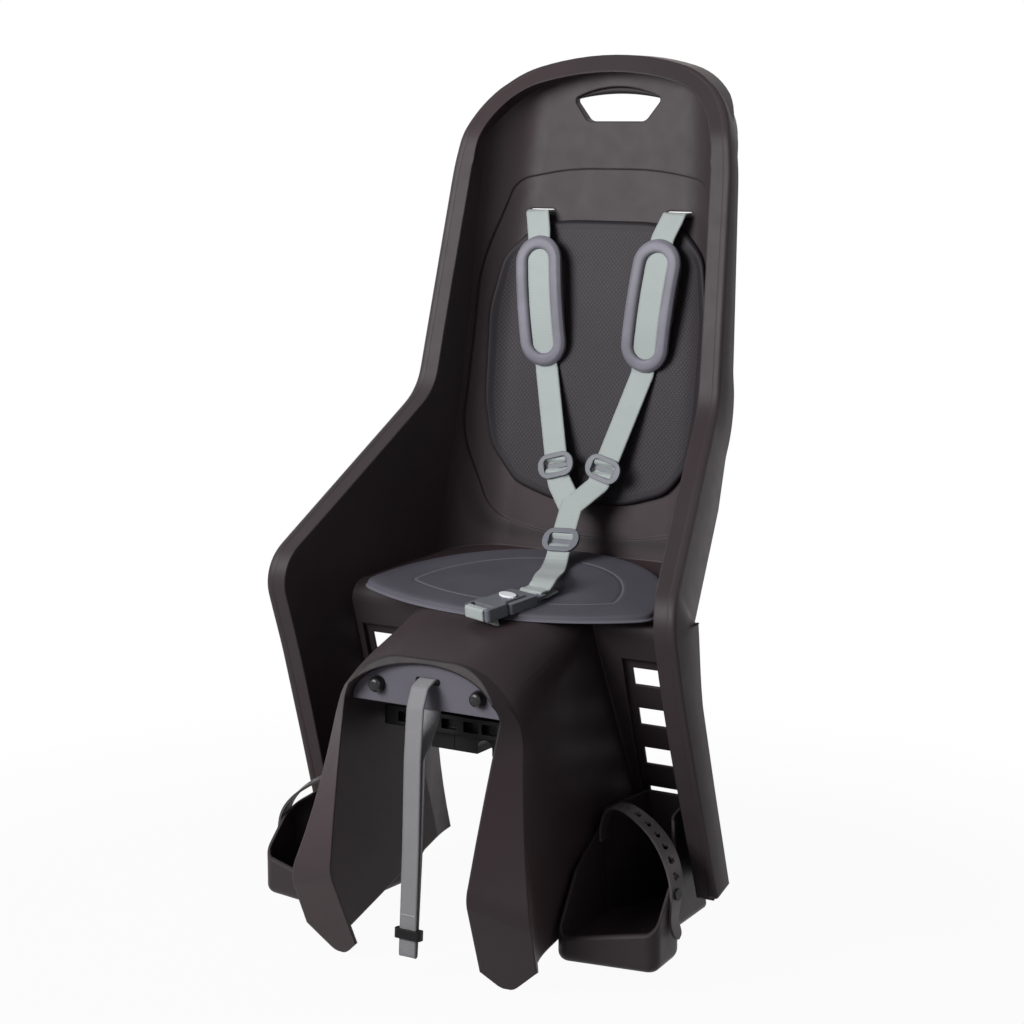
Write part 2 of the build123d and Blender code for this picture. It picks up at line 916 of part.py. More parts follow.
# Seat pad, lying on the pan
with BuildPart() as seat_pad:
    front_y = seat_pad_front - pan_front_depth
    rear_y = seat_pad_back - pan_front_depth
    front_c = front_y + seat_pad_front_radius
    rear_c = rear_y - seat_pad_rear_radius
    tip_y = seat_pad_rear_radius**2 - seat_pad_front_radius**2 - rear_c**2 + front_c**2
    tip_y = tip_y / (2 * (front_c - rear_c))
    tip_x = sqrt(seat_pad_rear_radius**2 - (tip_y - rear_c) ** 2)
    with BuildSketch(pan_plane) as pad_outline:
        with BuildLine():
            ThreePointArc((-tip_x, tip_y), (0, front_y), (tip_x, tip_y))
            ThreePointArc((tip_x, tip_y), (0, rear_y), (-tip_x, tip_y))
        make_face()
        fillet(pad_outline.vertices(), seat_pad_corner)
    extrude(amount=seat_pad_thickness)
    fillet(seat_pad.faces().sort_by(Axis.Z)[-1].edges(), seat_pad_round)
finish(seat_pad.part, "seat_pad")

# Shoulder straps with their anchors, pads and sliders
slot_wall = back_y(slot_height) + wall
behind = slot_wall + anchor_plate + web / 2 + 2 * fit
pad_foot = Vector(shoulder_pad_foot)
slider_point = Vector(strap_slider_point)
slider_run = (slider_point - pad_foot).normalized() * strap_slider_run
joint_lift = web + 2 * fit
joint_shift = Vector(strap_joint_normal) * joint_lift
strap_route = [
    (slot_x, behind - back_recline * anchor_tail, slot_height - anchor_tail),
    (slot_x, behind, slot_height + slot_play),
    (slot_x, back_y(slot_height) - slot_lead, slot_height + slot_play),
    shoulder_pad_top,
    shoulder_pad_foot,
    slider_point - slider_run,
    slider_point + slider_run,
    slider_point + slider_run * slider_lead,
]
sideways = [(1, 0, 0)] * (len(strap_route) + 1)
left_joint = Vector(strap_joint) + joint_shift
right_joint = Vector(strap_joint) - joint_shift
finish(ribbon(strap_route + [left_joint], sideways, web_width, web), "shoulder_strap_left")
right_strap = ribbon(strap_route + [right_joint], sideways, web_width, web)
finish(mirror(right_strap, about=Plane.YZ), "shoulder_strap_right")

with BuildPart() as strap_anchor:
    with BuildSketch(
        Plane(
            origin=(slot_x, back_y(slot_height - anchor_drop) + wall + fit, slot_height - anchor_drop),
            x_dir=(1, 0, 0),
            z_dir=(0, 1, -back_recline),
        )
    ):
        RectangleRounded(anchor_length, anchor_height, anchor_round)
    extrude(amount=anchor_plate)
finish_pair(strap_anchor.part, "strap_anchor")

pad_plane = strap_plane(shoulder_pad_top, shoulder_pad_foot, 0.5, (1, 0, 0))
with BuildPart() as shoulder_pad:
    with BuildSketch(pad_plane.offset(-shoulder_pad_rear)):
        SlotOverall(shoulder_pad_length, shoulder_pad_width, rotation=90)
    extrude(amount=shoulder_pad_rear + shoulder_pad_front)
    with BuildSketch(pad_plane.offset(-web / 2 - fit)):
        Rectangle(web_width + 2 * fit, 2 * shoulder_pad_length)
    extrude(amount=web + 2 * fit, mode=Mode.SUBTRACT)
    with BuildSketch(pad_plane):
        SlotOverall(shoulder_pad_window, web_width, rotation=90)
    extrude(amount=2 * shoulder_pad_front, mode=Mode.SUBTRACT)
finish_pair(shoulder_pad.part, "shoulder_pad")
slider_plane = strap_plane(shoulder_pad_foot, strap_slider_point, 1.0, (1, 0, 0))
finish_pair(ladder_slider(slider_plane), "strap_slider")

with BuildPart() as buckle_body:
    with BuildSketch(buckle_plane) as body_face:
        with Locations((0, (buckle_front + buckle_shoulder) / 2)):
            RectangleRounded(2 * buckle_half, buckle_shoulder - buckle_front, buckle_round)
        with Locations((0, (buckle_shoulder + buckle_neck_end - buckle_lap) / 2)):
            Rectangle(2 * buckle_neck, buckle_neck_end - buckle_shoulder + buckle_lap)
    extrude(amount=buckle_height)
    top = buckle_body.faces().sort_by(Axis.Z)[-1]
    fillet(top.edges(), buckle_edge)
    with BuildSketch(buckle_plane):
        with Locations((0, buckle_front + crotch_bar + crotch_gap / 2)):
            Rectangle(web_width + 4 * fit, crotch_gap)
    extrude(amount=buckle_height, mode=Mode.SUBTRACT)
    with BuildSketch(buckle_plane):
        with Locations((0, buckle_front)):
            Rectangle(web_width + 4 * fit, 2 * crotch_bar)
    extrude(amount=crotch_ledge, mode=Mode.SUBTRACT)
    with BuildSketch(buckle_plane.offset(buckle_height)):
        with Locations((0, buckle_front)):
            Rectangle(web_width + 4 * fit, 2 * crotch_bar)
    extrude(amount=-crotch_ledge, mode=Mode.SUBTRACT)
    with BuildSketch(buckle_plane.offset(buckle_height)):
        with Locations((0, button_at)):
            Ellipse(button_x + button_gap, button_y + button_gap)
    extrude(amount=-button_thickness - button_travel + button_proud - fit, mode=Mode.SUBTRACT)
    with BuildSketch(buckle_plane.offset(tongue_height / 2 - prong_width / 2 - fit)):
        with Locations(*both_sides((prong_x, buckle_shoulder - prong_length / 2))):
            Rectangle(prong_width + 2 * fit, prong_length + 2 * fit)
    extrude(amount=prong_width + 2 * fit, mode=Mode.SUBTRACT)
finish(buckle_body.part, "buckle_body")

with BuildPart() as buckle_tongue:
    tongue_start = buckle_shoulder + fit
    with BuildSketch(buckle_plane):
        with Locations((0, (tongue_start + tongue_end) / 2)):
            RectangleRounded(2 * tongue_half, tongue_end - tongue_start, tongue_round)
        neck_run = buckle_neck_end + fit - tongue_start
        with Locations((0, tongue_start + neck_run / 2 - fit)):
            Rectangle(2 * buckle_neck + 2 * fit, neck_run + 2 * fit, mode=Mode.SUBTRACT)
    extrude(amount=tongue_height)
    with BuildSketch(buckle_plane.offset(tongue_bar_low)):
        bar_run = tongue_bar_end - tongue_end + tongue_bar
        with Locations((0, tongue_bar_end - bar_run / 2)):
            RectangleRounded(2 * tongue_bar_half, bar_run, tongue_bar_round)
        with Locations((0, (tongue_end + tongue_bar_end - tongue_bar) / 2)):
            Rectangle(web_width + 4 * fit, tongue_bar_end - tongue_bar - tongue_end, mode=Mode.SUBTRACT)
    extrude(amount=tongue_bar_high - tongue_bar_low)
    with BuildSketch(buckle_plane.offset(tongue_height / 2 - prong_width / 2)):
        with Locations(*both_sides((prong_x, buckle_shoulder - (prong_length - prong_root) / 2))):
            Rectangle(prong_width, prong_length + prong_root)
    extrude(amount=prong_width)
finish(buckle_tongue.part, "buckle_tongue")

with BuildPart() as buckle_button:
    with BuildSketch(buckle_plane.offset(buckle_height + button_proud - button_thickness)):
        with Locations((0, button_at)):
            Ellipse(button_x, button_y)
    extrude(amount=button_thickness)
finish(buckle_button.part, "buckle_button")


# Lap strap from the joint of the shoulder straps to the tongue
lap_eye_y = tongue_bar_end - tongue_bar / 2
lap_end = buckle_plane.from_local_coords((0, lap_eye_y + 1, tongue_bar_high + touch + web / 2))
lap_lead_z = tongue_bar_high + touch + web / 2 + lap_lead_lift
lap_lead = buckle_plane.from_local_coords((0, lap_eye_y + lap_lead_run, lap_lead_z))
slider_step = (Vector(lap_slider_point) - Vector(lap_joint)).normalized() * strap_slider_run
with BuildPart() as lap_strap:
    slider_at = Vector(lap_slider_point)
    route = [lap_start, lap_joint, slider_at - slider_step, slider_at + slider_step]
    route += [slider_at + slider_step * slider_lead, lap_lead, lap_end]
    add(ribbon(route, [(1, 0, 0)] * len(route), web_width, web))
    add(strap_eye(buckle_plane, lap_eye_y, tongue_bar_low, tongue_bar, tongue_bar_high - tongue_bar_low))
finish(lap_strap.part, "lap_strap")
finish(ladder_slider(strap_plane(lap_joint, lap_slider_point, 1.0, (1, 0, 0))), "junction_slider")

# Crotch strap from the bar of the buckle through the pan, with a sewn stop under it
with BuildPart() as crotch_strap:
    eye_y = buckle_front + crotch_bar / 2
    pan_drop = -(seat_pad_thickness + seat_pad_lift) - touch
    stop_z = pan_drop - wall - crotch_stop_gap
    eye_z = crotch_ledge - touch - web / 2
    add(strap_eye(buckle_plane, eye_y, crotch_ledge, crotch_bar, buckle_height - 2 * crotch_ledge))
    local_route = (
        (0, eye_y - crotch_bar / 4, eye_z),
        (0, eye_y + crotch_bar * 3 / 4, eye_z),
        (0, crotch_slot_at - web, pan_drop + web),
        (0, crotch_slot_at, pan_drop - wall),
        (0, crotch_slot_at, stop_z - crotch_stop * 3 / 4),
    )
    route = [buckle_plane.from_local_coords(point) for point in local_route]
    add(ribbon(route, [buckle_plane.x_dir] * len(route), web_width, web))
    with BuildSketch(buckle_plane.offset(stop_z)):
        with Locations((0, crotch_slot_at)):
            Rectangle(web_width, crotch_slot_gap + crotch_stop)
    extrude(amount=-crotch_stop)
finish(crotch_strap.part, "crotch_strap")

# Front plate in the arched opening
with BuildPart() as front_plate:
    with BuildSketch(Plane.XZ.offset(-plate_seat)):
        with Locations((0, tunnel_height)):
            Ellipse(tunnel_half_top - fit, plate_rise - fit)
        with Locations((0, tunnel_height + far / 2)):
            Rectangle(far, far, mode=Mode.INTERSECT)
        with Locations((0, strap_slot_z)):
            SlotOverall(strap_slot_width, strap_slot_gap, mode=Mode.SUBTRACT)
        with Locations(*both_sides((bolt_x, bolt_z))):
            Circle(bolt_radius + touch, mode=Mode.SUBTRACT)
    extrude(amount=plate_thickness)
    front = front_plate.faces().sort_by(Axis.Y)[0]
    fillet(front.outer_wire().edges(), plate_edge)
finish(front_plate.part, "front_plate")

# Domed bolts through the plate and the clamp, and their nuts
with BuildPart() as front_bolts:
    face = Plane.XZ.offset(-plate_seat + plate_thickness)
    with BuildSketch(face):
        with Locations(*both_sides((bolt_x, bolt_z))):
            Circle(bolt_head)
    extrude(amount=bolt_dome, taper=bolt_taper)
    fillet(front_bolts.edges().group_by(Axis.Y)[0], bolt_round)
    with BuildSketch(face):
        with Locations(*both_sides((bolt_x, bolt_z))):
            Circle(bolt_radius)
    extrude(amount=-plate_thickness - deck - nut_height - bolt_end)
finish(front_bolts.part, "front_bolts")

with BuildPart() as front_nuts:
    with BuildSketch(Plane.XZ.offset(-plate_seat - deck)):
        with Locations(*both_sides((bolt_x, bolt_z))):
            RegularPolygon(nut_radius, 6)
            Circle(bolt_radius + touch, mode=Mode.SUBTRACT)
    extrude(amount=-nut_height)
finish(front_nuts.part, "front_nuts")

# Safety strap, a flattened loop through the plate
with BuildPart() as safety_strap:
    rear_line = [(y + safety_depth, z) for y, z in safety_front[safety_rear_start:]]
    rear_top = plate_seat + safety_depth / 2
    with BuildSketch(Plane.YZ):
        with BuildLine():
            Polyline(
                *safety_front,
                *reversed(rear_line),
                (rear_top, strap_slot_z - safety_rear_drop),
                (rear_top, safety_front[0][1]),
                close=True,
            )
        make_face()
        offset(amount=-web, mode=Mode.SUBTRACT)
    extrude(amount=safety_width / 2, both=True)
finish(safety_strap.part, "safety_strap")

with BuildPart() as safety_strap_slider:
    (y0, z0), (y1, z1) = safety_front[-2:]
    share = (safety_slider_z - z0) / (z1 - z0)
    middle = y0 + (y1 - y0) * share + safety_depth / 2
    length, depth, height = safety_slider_size
    ring_at = (0, middle, safety_slider_z)
    with BuildSketch(Plane(origin=ring_at, x_dir=(1, 0, 0), z_dir=(0, y0 - y1, z0 - z1))):
        RectangleRounded(length, depth, safety_slider_round)
        Rectangle(safety_width + 2 * touch, safety_depth + 2 * touch, mode=Mode.SUBTRACT)
    extrude(amount=height / 2, both=True)
finish(safety_strap_slider.part, "safety_strap_slider")

# Carrier clamp: beam with its deck and lugs
with BuildPart() as clamp_beam:
    low = jaw_top + fit
    with BuildSketch(Plane.XY.offset(low)):
        with Locations(((beam_left + beam_right) / 2, (beam_front + beam_rear) / 2)):
            RectangleRounded(beam_right - beam_left, beam_rear - beam_front, beam_round)
    extrude(amount=beam_top - low)
    with BuildSketch(Plane.XY.offset(beam_top)):
        with Locations((0, deck_rear - neck / 2)):
            Rectangle(2 * neck_half, neck)
    extrude(amount=deck_low - beam_top)
    with BuildSketch(Plane.XY.offset(deck_low)):
        with Locations((0, (plate_seat + deck_rear) / 2)):
            Rectangle(2 * deck_half, deck_rear - plate_seat)
        with Locations((0, plate_seat)):
            Rectangle(*deck_slot, mode=Mode.SUBTRACT)
    extrude(amount=deck)
    with BuildSketch(Plane.XZ.offset(-plate_seat)):
        with Locations((0, tunnel_height)):
            Ellipse(tunnel_half_top - ledge - fit, plate_rise - ledge - fit)
        with Locations((0, deck_low + far / 2)):
            Rectangle(far, far, mode=Mode.INTERSECT)
        Rectangle(2 * lug_inner, far, mode=Mode.SUBTRACT)
        with Locations(*both_sides((bolt_x, bolt_z))):
            Circle(bolt_radius + touch, mode=Mode.SUBTRACT)
    extrude(amount=-deck)
    # Groove for the tongues of the jaws, and the bore of the spindle
    reach = tongue_reach + jaw_travel + latch_gap
    with BuildSketch(Plane.XY.offset(low)):
        Rectangle(2 * reach, 2 * tongue_half_depth + 2 * fit)
    extrude(amount=tongue_top + fit - low, mode=Mode.SUBTRACT)
    with BuildSketch(Plane.YZ.offset(beam_left)):
        with Locations((0, spindle_z)):
            Circle(spindle_radius + running_gap)
    extrude(amount=beam_right - beam_left, mode=Mode.SUBTRACT)
    # Pockets in the front of the beam
    with BuildSketch(Plane.XZ.offset(-beam_front)):
        with Locations(*[(x, beam_pocket_z) for x in beam_pocket_x]):
            RectangleRounded(*beam_pocket[:2], beam_pocket_round)
    extrude(amount=-beam_pocket[2], mode=Mode.SUBTRACT)
finish(clamp_beam.part, "clamp_beam")

with BuildPart() as clamp_jaw:
    with BuildSketch(Plane.XZ) as jaw_face:
        with BuildLine():
            Polyline(
                (tube_x + tube_radius, 0),
                (tube_x + tube_radius, jaw_low),
                (jaw_end, jaw_low),
                (jaw_end, jaw_top),
                (jaw_gap, jaw_top),
                (jaw_gap, jaw_low),
                (tube_x - tube_radius, jaw_low),
                (tube_x - tube_radius, 0),
            )
            ThreePointArc((tube_x - tube_radius, 0), (tube_x, tube_radius), (tube_x + tube_radius, 0))
        make_face()
    extrude(amount=jaw_half_depth, both=True)
    with BuildSketch(Plane.XY.offset(jaw_top)):
        with Locations(((jaw_gap + tongue_reach) / 2, 0)):
            Rectangle(tongue_reach - jaw_gap, 2 * tongue_half_depth)
    extrude(amount=tongue_top - jaw_top)
    with BuildSketch(Plane.YZ):
        with Locations((0, spindle_z)):
            Circle(spindle_radius + running_gap)
    extrude(amount=far, mode=Mode.SUBTRACT)
finish_pair(clamp_jaw.part, "clamp_jaw")

with BuildPart() as clamp_spindle:
    head_at = beam_left - fit - spindle_head
    with BuildSketch(Plane.YZ.offset(head_at)):
        with Locations((0, spindle_z)):
            Circle(spindle_head_radius)
    extrude(amount=spindle_head)
    with BuildSketch(Plane.YZ.offset(head_at)):
        with Locations((0, spindle_z)):
            Circle(spindle_radius)
    extrude(amount=beam_right + fit + knob_length - knob_cap - head_at)
finish(clamp_spindle.part, "clamp_spindle")

with BuildPart() as clamp_knob:
    with BuildSketch(Plane.YZ.offset(beam_right + fit)):
        with Locations((0, spindle_z)):
            Circle(knob_radius)
            with PolarLocations(knob_radius + knob_flute_out, knob_flutes):
                Circle(knob_flute, mode=Mode.SUBTRACT)
    extrude(amount=knob_length)
    with BuildSketch(Plane.YZ.offset(beam_right + fit)):
        with Locations((0, spindle_z)):
            Circle(spindle_radius)
    extrude(amount=knob_length - knob_cap, mode=Mode.SUBTRACT)
finish(clamp_knob.part, "clamp_knob")


with BuildPart() as tray_hollow:
    with BuildSketch(Plane.XY.offset(sole_top)):
        add(tray_outline(tray_wall).face().moved(Location((0, 0, sole_top - tray_foot))))
    extrude(amount=far)
    add(behind_tray(tray_back_gap + tray_wall), mode=Mode.SUBTRACT)

with BuildPart() as footrest:
    extrude(tray_outline(0.0), amount=-tray_foot)
    fillet(footrest.faces().sort_by(Axis.Z)[0].edges(), tray_round)
    add(behind_tray(tray_back_gap), mode=Mode.SUBTRACT)
    with BuildSketch(Plane.YZ):
        with BuildLine():
            FilletPolyline(*tray_edge, radius=tray_edge_round)
            Polyline(tray_edge[-1], (tray_edge[-1][0], -far), (tray_edge[0][0], -far), tray_edge[0])
        make_face()
    extrude(amount=far, mode=Mode.INTERSECT)
    add(tray_hollow.part, mode=Mode.SUBTRACT)
    extrude(tray_outline(tray_foot_wall), amount=sole_top - sole - tray_foot, mode=Mode.SUBTRACT)
finish_pair(footrest.part, "footrest")

# Latch block that rides in the pocket of the ladder
with BuildPart() as footrest_latch:
    with BuildSketch(ladder_plane.offset(-ladder_depth + latch_gap)):
        with Locations((ladder_x, latch_low + latch_length / 2)):
            RectangleRounded(ladder_width - 2 * latch_gap, latch_length, latch_round)
    extrude(amount=ladder_depth - latch_gap + tray_back_gap - touch)
finish_pair(footrest_latch.part, "footrest_latch")

# Perforated footrest strap and the stud that holds it
with BuildLine():
    strap_curve = Spline(*foot_strap_points)

stations = [step / foot_strap_stations for step in range(foot_strap_stations + 1)]
with BuildPart() as footrest_strap:
    path = [strap_curve @ share for share in stations]
    add(ribbon(path, [foot_across(share) for share in stations], foot_strap_width, foot_strap))
    for step in range(foot_strap_holes):
        with BuildSketch(foot_plane(foot_hole_first + foot_hole_pitch * step)):
            with PolarLocations(lobe_offset, 3):
                Circle(lobe_radius)
        extrude(amount=2 * foot_strap, both=True, mode=Mode.SUBTRACT)
finish_pair(footrest_strap.part, "footrest_strap")

with BuildPart() as strap_stud:
    stud_plane = foot_plane(foot_hole_first + foot_hole_pitch * (foot_strap_holes - 1))
    with BuildSketch(stud_plane.offset(foot_strap / 2 + touch)):
        Circle(stud_head)
    extrude(amount=stud_head_height)
    with BuildSketch(stud_plane.offset(foot_strap / 2 + touch)):
        Circle(stud_radius)
    extrude(amount=-foot_strap - stud_end)
finish_pair(strap_stud.part, "strap_stud")
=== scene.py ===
"""Looks of a rear child bike seat: finishes for the rigid parts and modelled soft parts, in metres."""

import bmesh
import bpy
import numpy as np
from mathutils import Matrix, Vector


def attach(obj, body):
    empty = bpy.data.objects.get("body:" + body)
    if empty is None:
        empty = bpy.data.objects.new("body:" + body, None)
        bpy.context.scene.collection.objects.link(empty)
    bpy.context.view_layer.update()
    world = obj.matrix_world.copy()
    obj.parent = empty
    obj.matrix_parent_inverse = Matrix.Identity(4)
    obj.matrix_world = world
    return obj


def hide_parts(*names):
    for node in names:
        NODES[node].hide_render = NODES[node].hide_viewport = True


bl_info = {
    "name": "Child bike seat",
    "version": (1, 0, 0),
    "blender": (4, 5, 0),
    "location": "3D View > Sidebar > Child seat",
    "description": "Dresses the solids of a carrier-mounted child bike seat and models its soft parts",
    "category": "Object",
}

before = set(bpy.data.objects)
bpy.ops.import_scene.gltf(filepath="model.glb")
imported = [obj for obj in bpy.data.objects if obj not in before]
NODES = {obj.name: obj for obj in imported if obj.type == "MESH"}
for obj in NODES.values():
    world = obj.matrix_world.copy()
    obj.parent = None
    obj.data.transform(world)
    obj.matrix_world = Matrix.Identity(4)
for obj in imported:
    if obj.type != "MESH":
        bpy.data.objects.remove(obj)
MM = 0.001
SIDES = (("left", 1), ("right", -1))


# ---------------------------------------------------------------- settings


def colour(name, part, *default):
    """Colour setting of one finish."""
    return bpy.props.FloatVectorProperty(
        name=name, description=f"Colour of {part}", subtype="COLOR", default=default
    )


def size(name, description, default):
    """Length setting, with its default in millimetres."""
    return bpy.props.FloatProperty(name=name, description=description, unit="LENGTH", default=default * MM)


def angle(name, description, default):
    """Angle setting, with its default in degrees."""
    return bpy.props.FloatProperty(
        name=name, description=description, subtype="ANGLE", default=np.radians(default)
    )


def power(name, description, default):
    """Power setting of a lamp, in watts."""
    return bpy.props.FloatProperty(name=name, description=description, unit="POWER", default=default)


class SeatFinishes(bpy.types.PropertyGroup):
    """Colours and edges of the seat's materials."""

    shell_colour: colour("Shell", "the moulded shell", 0.033, 0.0255, 0.0280)
    pad_colour: colour("Backrest pad", "the backrest pad", 0.0245, 0.0215, 0.0250)
    seat_pad_colour: colour("Seat pad", "the seat pad", 0.084, 0.081, 0.098)
    rubber_colour: colour("Shoulder pads", "the shoulder pads", 0.178, 0.173, 0.206)
    webbing_colour: colour("Webbing", "the harness webbing", 0.375, 0.415, 0.408)
    safety_colour: colour("Safety strap", "the safety strap", 0.238, 0.234, 0.246)
    buckle_colour: colour("Buckle", "the buckle and sliders", 0.150, 0.158, 0.178)
    button_colour: colour("Button", "the release button", 0.80, 0.83, 0.86)
    plate_colour: colour("Front plate", "the front plate", 0.116, 0.110, 0.132)
    clamp_colour: colour("Clamp", "the carrier clamp", 0.009, 0.008, 0.009)
    strap_colour: colour("Foot straps", "the footrest straps", 0.060, 0.053, 0.056)
    edge_radius: size("Edge", "Roundness of moulded edges", 2.6)


class SoftSizes(bpy.types.PropertyGroup):
    """Sizes of the pads, the straps and the rim's skirt."""

    back_pad_height: size("Backrest pad", "How far the backrest pad stands out", 5.0)
    seat_pad_height: size("Seat pad", "Thickness of the seat pad", 7.0)
    groove_inset: size("Groove", "Distance of the engraved line from the seat pad's edge", 31.0)
    web_width: size("Webbing", "Width of the harness webbing", 25.0)
    web_thickness: size("Webbing thickness", "Thickness of the webbing", 1.8)
    safety_width: size("Safety strap", "Width of the safety strap", 18.0)
    shoulder_pad_length: size("Shoulder pad", "Length of a shoulder pad", 132.0)
    shoulder_pad_width: size("Shoulder pad width", "Width of a shoulder pad", 52.0)
    skirt_stand: size("Skirt", "How far the rim's skirt stands out from the rim", 4.0)
    skirt_depth: size("Skirt depth", "Depth of the rim's skirt at the seat", 34.0)
    foot_strap_width: size("Foot strap", "Width of a footrest strap", 18.0)
    foot_strap_thickness: size("Foot strap thickness", "Thickness of a footrest strap", 2.5)


class StageLook(bpy.types.PropertyGroup):
    """Camera and light of the studio."""

    lens: bpy.props.FloatProperty(
        name="Lens", description="Focal length on a 36 mm sensor", subtype="DISTANCE_CAMERA", default=80.86
    )
    azimuth: angle("Azimuth", "Turn of the camera round the seat", 31.274)
    elevation: angle("Elevation", "Tilt of the camera", 9.733)
    place: bpy.props.FloatVectorProperty(
        name="Camera", description="Place of the camera", subtype="XYZ", unit="LENGTH",
        default=(1.1182, -1.7584, 0.5727),
    )
    key_power: power("Key", "Power of the key light", 16.5)
    fill_power: power("Fill", "Power of the fill light", 3.0)
    rim_power: power("Rim", "Power of the two rim lights", 4.0)
    sky: bpy.props.FloatProperty(name="Sky", description="Strength of the even light", default=0.10)


class ChildSeat(bpy.types.PropertyGroup):
    """All settings of the seat."""

    finishes: bpy.props.PointerProperty(type=SeatFinishes, name="Finishes", description="Colours and edges")
    sizes: bpy.props.PointerProperty(type=SoftSizes, name="Sizes", description="Sizes of the soft parts")
    stage: bpy.props.PointerProperty(type=StageLook, name="Stage", description="Camera and light")


# ---------------------------------------------------------------- shaders


class Wire:
    """One output of a shader node; arithmetic on it adds Math nodes."""

    def __init__(self, nodes, socket):
        self.nodes = nodes
        self.socket = socket

    def maths(self, operation, *others):
        return self.nodes.node("ShaderNodeMath", {"operation": operation}, dict(enumerate((self, *others))))

    def __add__(self, other):
        return self.maths("ADD", other)

    __radd__ = __add__

    def __sub__(self, other):
        return self.maths("SUBTRACT", other)

    def __rsub__(self, other):
        return self.nodes.node("ShaderNodeMath", {"operation": "SUBTRACT"}, {0: other, 1: self})

    def __mul__(self, other):
        return self.maths("MULTIPLY", other)

    __rmul__ = __mul__

    def __abs__(self):
        return self.maths("ABSOLUTE")

    def __pow__(self, other):
        return self.maths("POWER", other)

    def sine(self):
        return self.maths("SINE")

    def above(self, edge, soft):
        """0 below edge and 1 above edge + soft."""
        sockets = {"Value": self, "From Min": edge, "From Max": edge + soft}
        return self.nodes.node("ShaderNodeMapRange", {"interpolation_type": "SMOOTHSTEP"}, sockets)


class Nodes:
    """A node tree being built."""

    def __init__(self, tree):
        self.tree = tree

    def node(self, kind, settings=None, sockets=None, out=0):
        """Add a node, set its own settings, then the values or links of its sockets."""
        made = self.tree.nodes.new(kind)
        for key, value in (settings or {}).items():
            setattr(made, key, value)
        for key, value in (sockets or {}).items():
            self.put(made.inputs[key], value)
        return Wire(self, made.outputs[out])

    def put(self, socket, value):
        """Link a wire to a socket, or set its plain value."""
        if isinstance(value, Wire):
            self.tree.links.new(value.socket, socket)
        else:
            socket.default_value = value

    def seen(self):
        """1 for rays from the camera, from mirrors and through glass, 0 for all other light."""
        rays = self.node("ShaderNodeLightPath").socket.node.outputs
        kinds = ("Is Camera Ray", "Is Glossy Ray", "Is Transmission Ray")
        camera, glossy, through = (Wire(self, rays[kind]) for kind in kinds)
        return (camera + glossy + through).maths("MINIMUM", 1.0)


class Finish(Nodes):
    """A material being built."""

    def __init__(self, name):
        self.material = bpy.data.materials.new(name)
        self.material.use_nodes = True
        super().__init__(self.material.node_tree)
        self.shader = self.tree.nodes["Principled BSDF"]

    def set(self, **values):
        """Set sockets of the surface shader, named with underscores."""
        for key, value in values.items():
            self.put(self.shader.inputs[key.replace("_", " ")], value)

    def place(self):
        return self.node("ShaderNodeTexCoord", out="Object")

    def strip(self):
        """The piece's own map: across and along, in metres."""
        return self.node("ShaderNodeUVMap", {"uv_map": "strip"})

    def parts(self, vector):
        made = self.node("ShaderNodeSeparateXYZ", None, {0: vector})
        return [Wire(self, output) for output in made.socket.node.outputs]

    def noise(self, vector, scale, detail):
        return self.node("ShaderNodeTexNoise", None, {"Vector": vector, "Scale": scale, "Detail": detail})

    def blend(self, factor, first, second):
        return self.node("ShaderNodeMix", {"data_type": "RGBA"}, {0: factor, 6: first, 7: second}, out=2)

    def bump(self, height, distance, strength, under=None):
        sockets = {"Height": height, "Distance": distance, "Strength": strength}
        if under is not None:
            sockets["Normal"] = under
        return self.node("ShaderNodeBump", None, sockets)

    def rounding(self, radius):
        """Normal that rounds the solid's edges by radius."""
        return self.node("ShaderNodeBevel", {"samples": 8}, {"Radius": radius})


def shade(tint, factor):
    """Colour made darker or lighter, with full alpha."""
    return (*(min(part * factor, 1.0) for part in tint), 1.0)


def moulded_plastic(name, base, edge, rough=0.46, grain=0.10, warm=0.0, backrest=False):
    """Injection-moulded plastic: fine spark-eroded grain, faint cloudy tone and rounded edges. A backrest gets
    painted shade in the hollow below its pad, and on its nose round the arch."""
    finish = Finish(name)
    place = finish.place()
    fine = finish.noise(place, 2600.0, 2.0)
    cloud = finish.noise(place, 9.0, 3.0)
    tint = finish.blend(cloud.above(0.35, 0.3), shade(base, 0.92), shade(base, 1.08))
    if warm:
        drift = finish.noise(place, 3.2, 1.0).above(0.4, 0.25)
        reddish = (base[0] * (1 + warm), base[1] * (1 - 0.25 * warm), base[2] * (1 - 0.1 * warm), 1.0)
        tint = finish.blend(drift * 0.8, tint, reddish)
    if backrest:
        # painted shade: a soft dark band along the lower part of the hollow round the backrest pad
        x, y, z = finish.parts(place)
        side = abs(x) - (113 * MM + 0.066 * z)
        beyond = side.maths("SMOOTH_MAX", abs(z - 340 * MM) - 182 * MM, 60 * MM)
        inner = y.above(150 * MM, 40 * MM)
        hollow = (1 - abs(beyond - 3 * MM).above(1 * MM, 9 * MM)) * (1 - z.above(170 * MM, 200 * MM)) * inner
        # painted shade: the nose's front face round the arch is made darker, in place of the recess's shade
        groove = (1 - y.above(-65 * MM, 2 * MM)) * z.above(10 * MM, 40 * MM)
        tint = finish.blend((hollow * 0.6).maths("MAXIMUM", groove * 0.75), tint, shade(base, 0.3))
    finish.set(
        Base_Color=tint,
        Roughness=rough - 0.06 + 0.12 * finish.noise(place, 60.0, 2.0),
        Specular_IOR_Level=0.15,
        Sheen_Weight=0.35 * warm,
        Sheen_Roughness=0.35,
        Sheen_Tint=(1.0, 0.55, 0.5, 1.0),
        Normal=finish.bump(fine, grain * MM, 0.35, finish.rounding(edge)),
    )
    return finish.material


